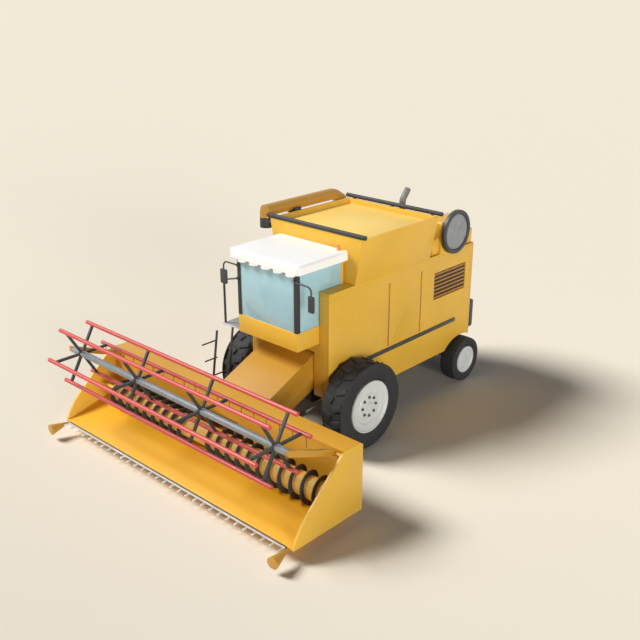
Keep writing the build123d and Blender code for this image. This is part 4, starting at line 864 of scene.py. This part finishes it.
# %% [markdown]
# ## Lamps and the hood's handle
# The rear lamp boxes carry a tall stack of lenses: red tail lamp, amber indicator, clear reversing lamp.
# Each lens is a thin slab with ribs pressed in it. The hood has a bar handle to lift it by.

# %% Rear lamps and hood handle
LENS_IN, LENS_OUT = 0.680, 0.845
RIBS, RIB_IN, RIB_STEP, RIB_WIDE = 6, 0.692, 0.0245, 0.010
# finish, foot and head of the lens
LENSES = (("red_paint", 1.33, 1.47), ("amber_plastic", 1.18, 1.31), ("white_paint", 1.03, 1.16))
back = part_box("rear_lamp_boxes")[1].y
for finish, foot, head in LENSES:
    plate = slab((LENS_IN, back - 0.012, foot), (LENS_OUT, back - 0.002, head), 0.004)
    rib = slab((RIB_IN, back - 0.004, foot + 0.01), (RIB_IN + RIB_WIDE, back, head - 0.01), 0.002, 1)
    lens = joined([plate] + repeated(rib, [(i * RIB_STEP, 0, 0) for i in range(RIBS)]))
    settle(copy_of(lens, FLIP), f"rear_lens_{finish}_right", "machine", finish)
    settle(lens, f"rear_lens_{finish}_left", "machine", finish)
hood_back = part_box("rear_hood")[1].y - 0.060
bar_y = hood_back + 0.045
bar = turned([(-0.30, 0.010), (-0.296, 0.014), (0.296, 0.014), (0.30, 0.010)], (0, bar_y, 1.50), sides=20)
feet = [slab((x - 0.015, hood_back - 0.003, 1.485), (x + 0.015, bar_y, 1.515), 0.004) for x in (-0.26, 0.26)]
settle(smooth(joined([bar] + feet), 40), "hood_handle", "machine", "dark_plastic")
print("lamp lenses end at y", round(back, 3))

# %% [markdown]
# ## The rotary screen
# Cooling air is drawn through a turning disc of perforated sheet that keeps the chaff out. A rolled rim
# stiffens it. From a distance the holes melt into a flat grey, so they are left to the steel's fine
# procedural pattern, and only the dished sheet and its rim are modelled.

# %% Screen disc
disc_low, disc_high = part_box("rotary_screen")
disc_mid = (disc_low + disc_high) / 2
disc_mid.x = disc_high.x
disc_r = (disc_high.z - disc_low.z) / 2
profile = [(-0.004, 0.03), (-0.008, 0.045), (-0.009, disc_r * 0.50), (-0.007, disc_r * 0.93),
           (0.0, disc_r * 0.95), (0.0, disc_r * 0.985), (-0.004, disc_r), (-0.028, disc_r),
           (-0.029, disc_r * 0.9)]
screen_disc = smooth(turned(profile, disc_mid, sides=96), 28)
settle(screen_disc, "screen_disc", "screen", "bare_steel", ("rotary_screen",))
print("screen disc radius", round(disc_r, 3))

# %% [markdown]
# ## Inside the cab
# The driver sits on a sprung seat with a thick foam cushion and back. Foam under cloth crowns in the
# middle and pulls in along the seams, so each pad starts as a rounded block and is blown up a little by
# Blender's Cloth with pressure, like a pillow. Two sewn channels are then pressed in across its width.

# %% Foam pad
VOXEL = 0.014           # size of the remeshed faces
SWELL = 0.014           # the most that any point may swell
SEWN_AT, SEWN_WIDE, SEWN_DEEP = 0.27, 0.018, 0.007


def foam(name, low, high, across):
    """A padded block: a remeshed slab swollen by cloth pressure. across: axis that the channels divide."""
    low, high = Vector(low), Vector(high)
    pad = slab(low, high, min(high - low) * 0.36, 4)
    only(pad)
    fine = pad.modifiers.new("fine", "REMESH")
    fine.mode, fine.voxel_size = "VOXEL", VOXEL
    bpy.ops.object.modifier_apply(modifier=fine.name)
    start = [vertex.co.copy() for vertex in pad.data.vertices]
    cloth = pad.modifiers.new("cloth", "CLOTH")
    cloth.settings.use_pressure = True
    cloth.settings.uniform_pressure_force = 4
    cloth.settings.effector_weights.gravity = 0
    for frame_number in range(1, 15):
        bpy.context.scene.frame_set(frame_number)
    bpy.ops.object.modifier_apply(modifier=cloth.name)
    for vertex, rest in zip(pad.data.vertices, start):
        shift = vertex.co - rest
        if shift.length > SWELL:
            vertex.co = rest + shift * (SWELL / shift.length)
    bpy.context.scene.frame_set(1)
    heart = (low + high) / 2
    for vertex in pad.data.vertices:
        share = (vertex.co[across] - heart[across]) / (high[across] - low[across])
        crease = math.exp(-((abs(share) - SEWN_AT) / SEWN_WIDE) ** 2)
        core = Vector([heart[k] if k != across else vertex.co[k] for k in range(3)])
        vertex.co += (core - vertex.co).normalized() * SEWN_DEEP * crease
    only(pad)
    finer = pad.modifiers.new("finer", "SUBSURF")
    finer.levels = finer.render_levels = 1
    bpy.ops.object.modifier_apply(modifier=finer.name)
    smooth(pad, 70)
    pad.name = name
    return pad


seat_low, seat_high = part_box("driver_seat")
back_y = seat_high.y
PADS = (
    ("seat_cushion", (-0.235, seat_low.y + 0.015, 2.235), (0.235, back_y - 0.115, 2.330)),
    ("seat_back", (-0.230, back_y - 0.105, 2.310), (0.230, back_y - 0.015, 2.640)),
    ("seat_headrest", (-0.130, back_y - 0.095, 2.670), (0.130, back_y - 0.020, 2.815)),
)
for name, low, high in PADS:
    pad = foam(name, low, high, 0)
    settle(pad, name, "machine", "seat_fabric", ("driver_seat",))
print("seat pads", [round(v, 3) for v in (seat_low.z, seat_high.z)])

# %% [markdown]
# ## The seat's frame
# Under the cushion a rubber bellows hides the spring. A tray carries the cushion, a shell backs the
# upright pad, two posts hold the headrest and two rails make the armrests.

# %% Seat frame
folds = [(0.0, 0.14)]
for i in range(5):
    folds += [(0.02 + i * 0.05, 0.15), (0.045 + i * 0.05, 0.115)]
folds += [(0.28, 0.14), (0.30, 0.13)]
bellows = smooth(turned(folds, (0, seat_low.y + 0.30, seat_low.z + 0.05), "Z", sides=40), 30)
tray = slab((-0.22, seat_low.y + 0.05, seat_low.z + 0.345), (0.22, back_y - 0.03, seat_low.z + 0.382), 0.010)
shell = slab((-0.20, back_y - 0.014, 2.30), (0.20, back_y - 0.002, 2.66), 0.006)
posts = [turned([(0, 0.008), (0.09, 0.008)], (x, back_y - 0.055, 2.61), "Z", sides=14) for x in (-0.06, 0.06)]
arms = [slab((x - 0.028, seat_low.y + 0.14, 2.43), (x + 0.028, back_y - 0.06, 2.468), 0.014)
        for x in (-0.222, 0.222)]
foot = slab((-0.17, seat_low.y + 0.12, seat_low.z), (0.17, seat_low.y + 0.50, seat_low.z + 0.05), 0.006)
seat_frame = joined([bellows, tray, shell, foot] + posts + arms)
settle(seat_frame, "seat_frame", "machine", "dark_plastic", ("driver_seat",))
print("seat frame", len(seat_frame.data.polygons), "faces")

# %% [markdown]
# ## Mirrors, door handle and roof hatch
# Small parts that hands or eyes meet: the mirrors' glass, a grip at the edge of the door that opens, and
# the hatch in the roof. Each is only a few faces, rounded so that it catches a line of light.

# %% Small fittings on the cab
# side, distance from the middle, half width, foot, head
MIRRORS = ((1, 1.007, 0.048, 2.588, 2.832), (-1, 1.005, 0.063, 2.603, 2.827))
mirror_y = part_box("mirrors")[1].y
glasses = []
for side, out, half, foot, head in MIRRORS:
    x = side * out
    glasses.append(slab((x - half, mirror_y - 0.001, foot), (x + half, mirror_y + 0.002, head), 0.001, 1))
settle(joined(glasses), "mirror_glass", "machine", "bare_steel")
door_x, door_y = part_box("cab_door")[0].xy
barrel = [(-0.09, 0.006), (-0.086, 0.010), (0.086, 0.010), (0.09, 0.006)]
grip = turned(barrel, (door_x - 0.026, door_y + 0.055, 2.36), "Z", sides=16)
ends = [slab((door_x - 0.030, door_y + 0.044, z - 0.010), (door_x + 0.004, door_y + 0.066, z + 0.010), 0.004)
        for z in (2.29, 2.43)]
settle(smooth(joined([grip] + ends), 40), "door_handle", "door", "dark_plastic")
roof_low, roof_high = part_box("cab_roof")
hatch = slab((-0.36, roof_low.y + 0.46, roof_high.z - 0.006),
             (0.36, roof_high.y - 0.20, roof_high.z - 0.0005), 0.003)
settle(hatch, "roof_hatch", "machine", "white_paint")
print("mirror glass, door handle and roof hatch set")

# %% [markdown]
# ## The deck
# The driver steps from the ladder onto a small plate beside the cab. Boots need grip, so it gets rows of
# small raised bars and a pale edge strip. A single post stands at its corner to hold on to.

# %% Deck plate and post
DECK_TOP, SHEET = 1.831, 0.025
POST_R, POST_IN = 0.020, 0.030
deck_low, deck_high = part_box("platform")
plate = slab((deck_low.x, deck_low.y, DECK_TOP - SHEET), (-0.685, AXLE_Y - 0.470, DECK_TOP), 0.003)
bracket = slab((-0.885, AXLE_Y - 0.471, 1.700), (-0.705, deck_high.y, DECK_TOP), 0.003)
profile = [(DECK_TOP - 0.010, POST_R), (deck_high.z - 0.006, POST_R), (deck_high.z, 0.014)]
post = smooth(turned(profile, (deck_low.x + POST_IN, deck_low.y + POST_IN, 0), "Z", sides=24), 40)
settle(joined([plate, bracket]), "deck_plate", "machine", "bare_steel", ("platform",))
settle(post, "deck_rail", "machine", "dark_paint", ("platform",))
print("deck at", DECK_TOP, "m, post to", round(deck_high.z, 3), "m")

# %% Grip bars and pale edge
ROWS, COLUMNS, ROW_STEP, COLUMN_STEP = 9, 7, 0.041, 0.058
LIP = 0.026             # how far the pale edge strip reaches down
places = []
for row in range(ROWS):
    first = deck_low.x + 0.04 + (COLUMN_STEP / 2 if row % 2 else 0)
    y = deck_low.y + 0.075 + row * ROW_STEP
    places += [(first + column * COLUMN_STEP, y, 0) for column in range(COLUMNS)]
treads = repeated(slab((-0.012, -0.004, DECK_TOP - 0.001), (0.012, 0.004, DECK_TOP + 0.003), 0.0015, 1), places)
settle(joined(treads), "deck_grip", "machine", "bare_steel")
edge = slab((deck_low.x - 0.0005, deck_low.y - 0.0005, DECK_TOP - LIP),
            (deck_low.x + 0.012, deck_high.y - 0.02, DECK_TOP + 0.002), 0.003)
lip = slab((deck_low.x, deck_low.y - 0.0005, DECK_TOP - LIP),
           (-0.70, deck_low.y + 0.012, DECK_TOP + 0.002), 0.003)
settle(joined([edge, lip]), "deck_edge", "machine", "rim_paint")
print(len(treads), "grip bars on the deck")

# %% [markdown]
# ## The finished size
# The dressed machine's box is printed beside the frame's own box.

dressed_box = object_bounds()
for was, now in zip(cad_box, dressed_box):
    print("box corner", tuple(round(c, 3) for c in was), "is now", tuple(round(c, 3) for c in now))
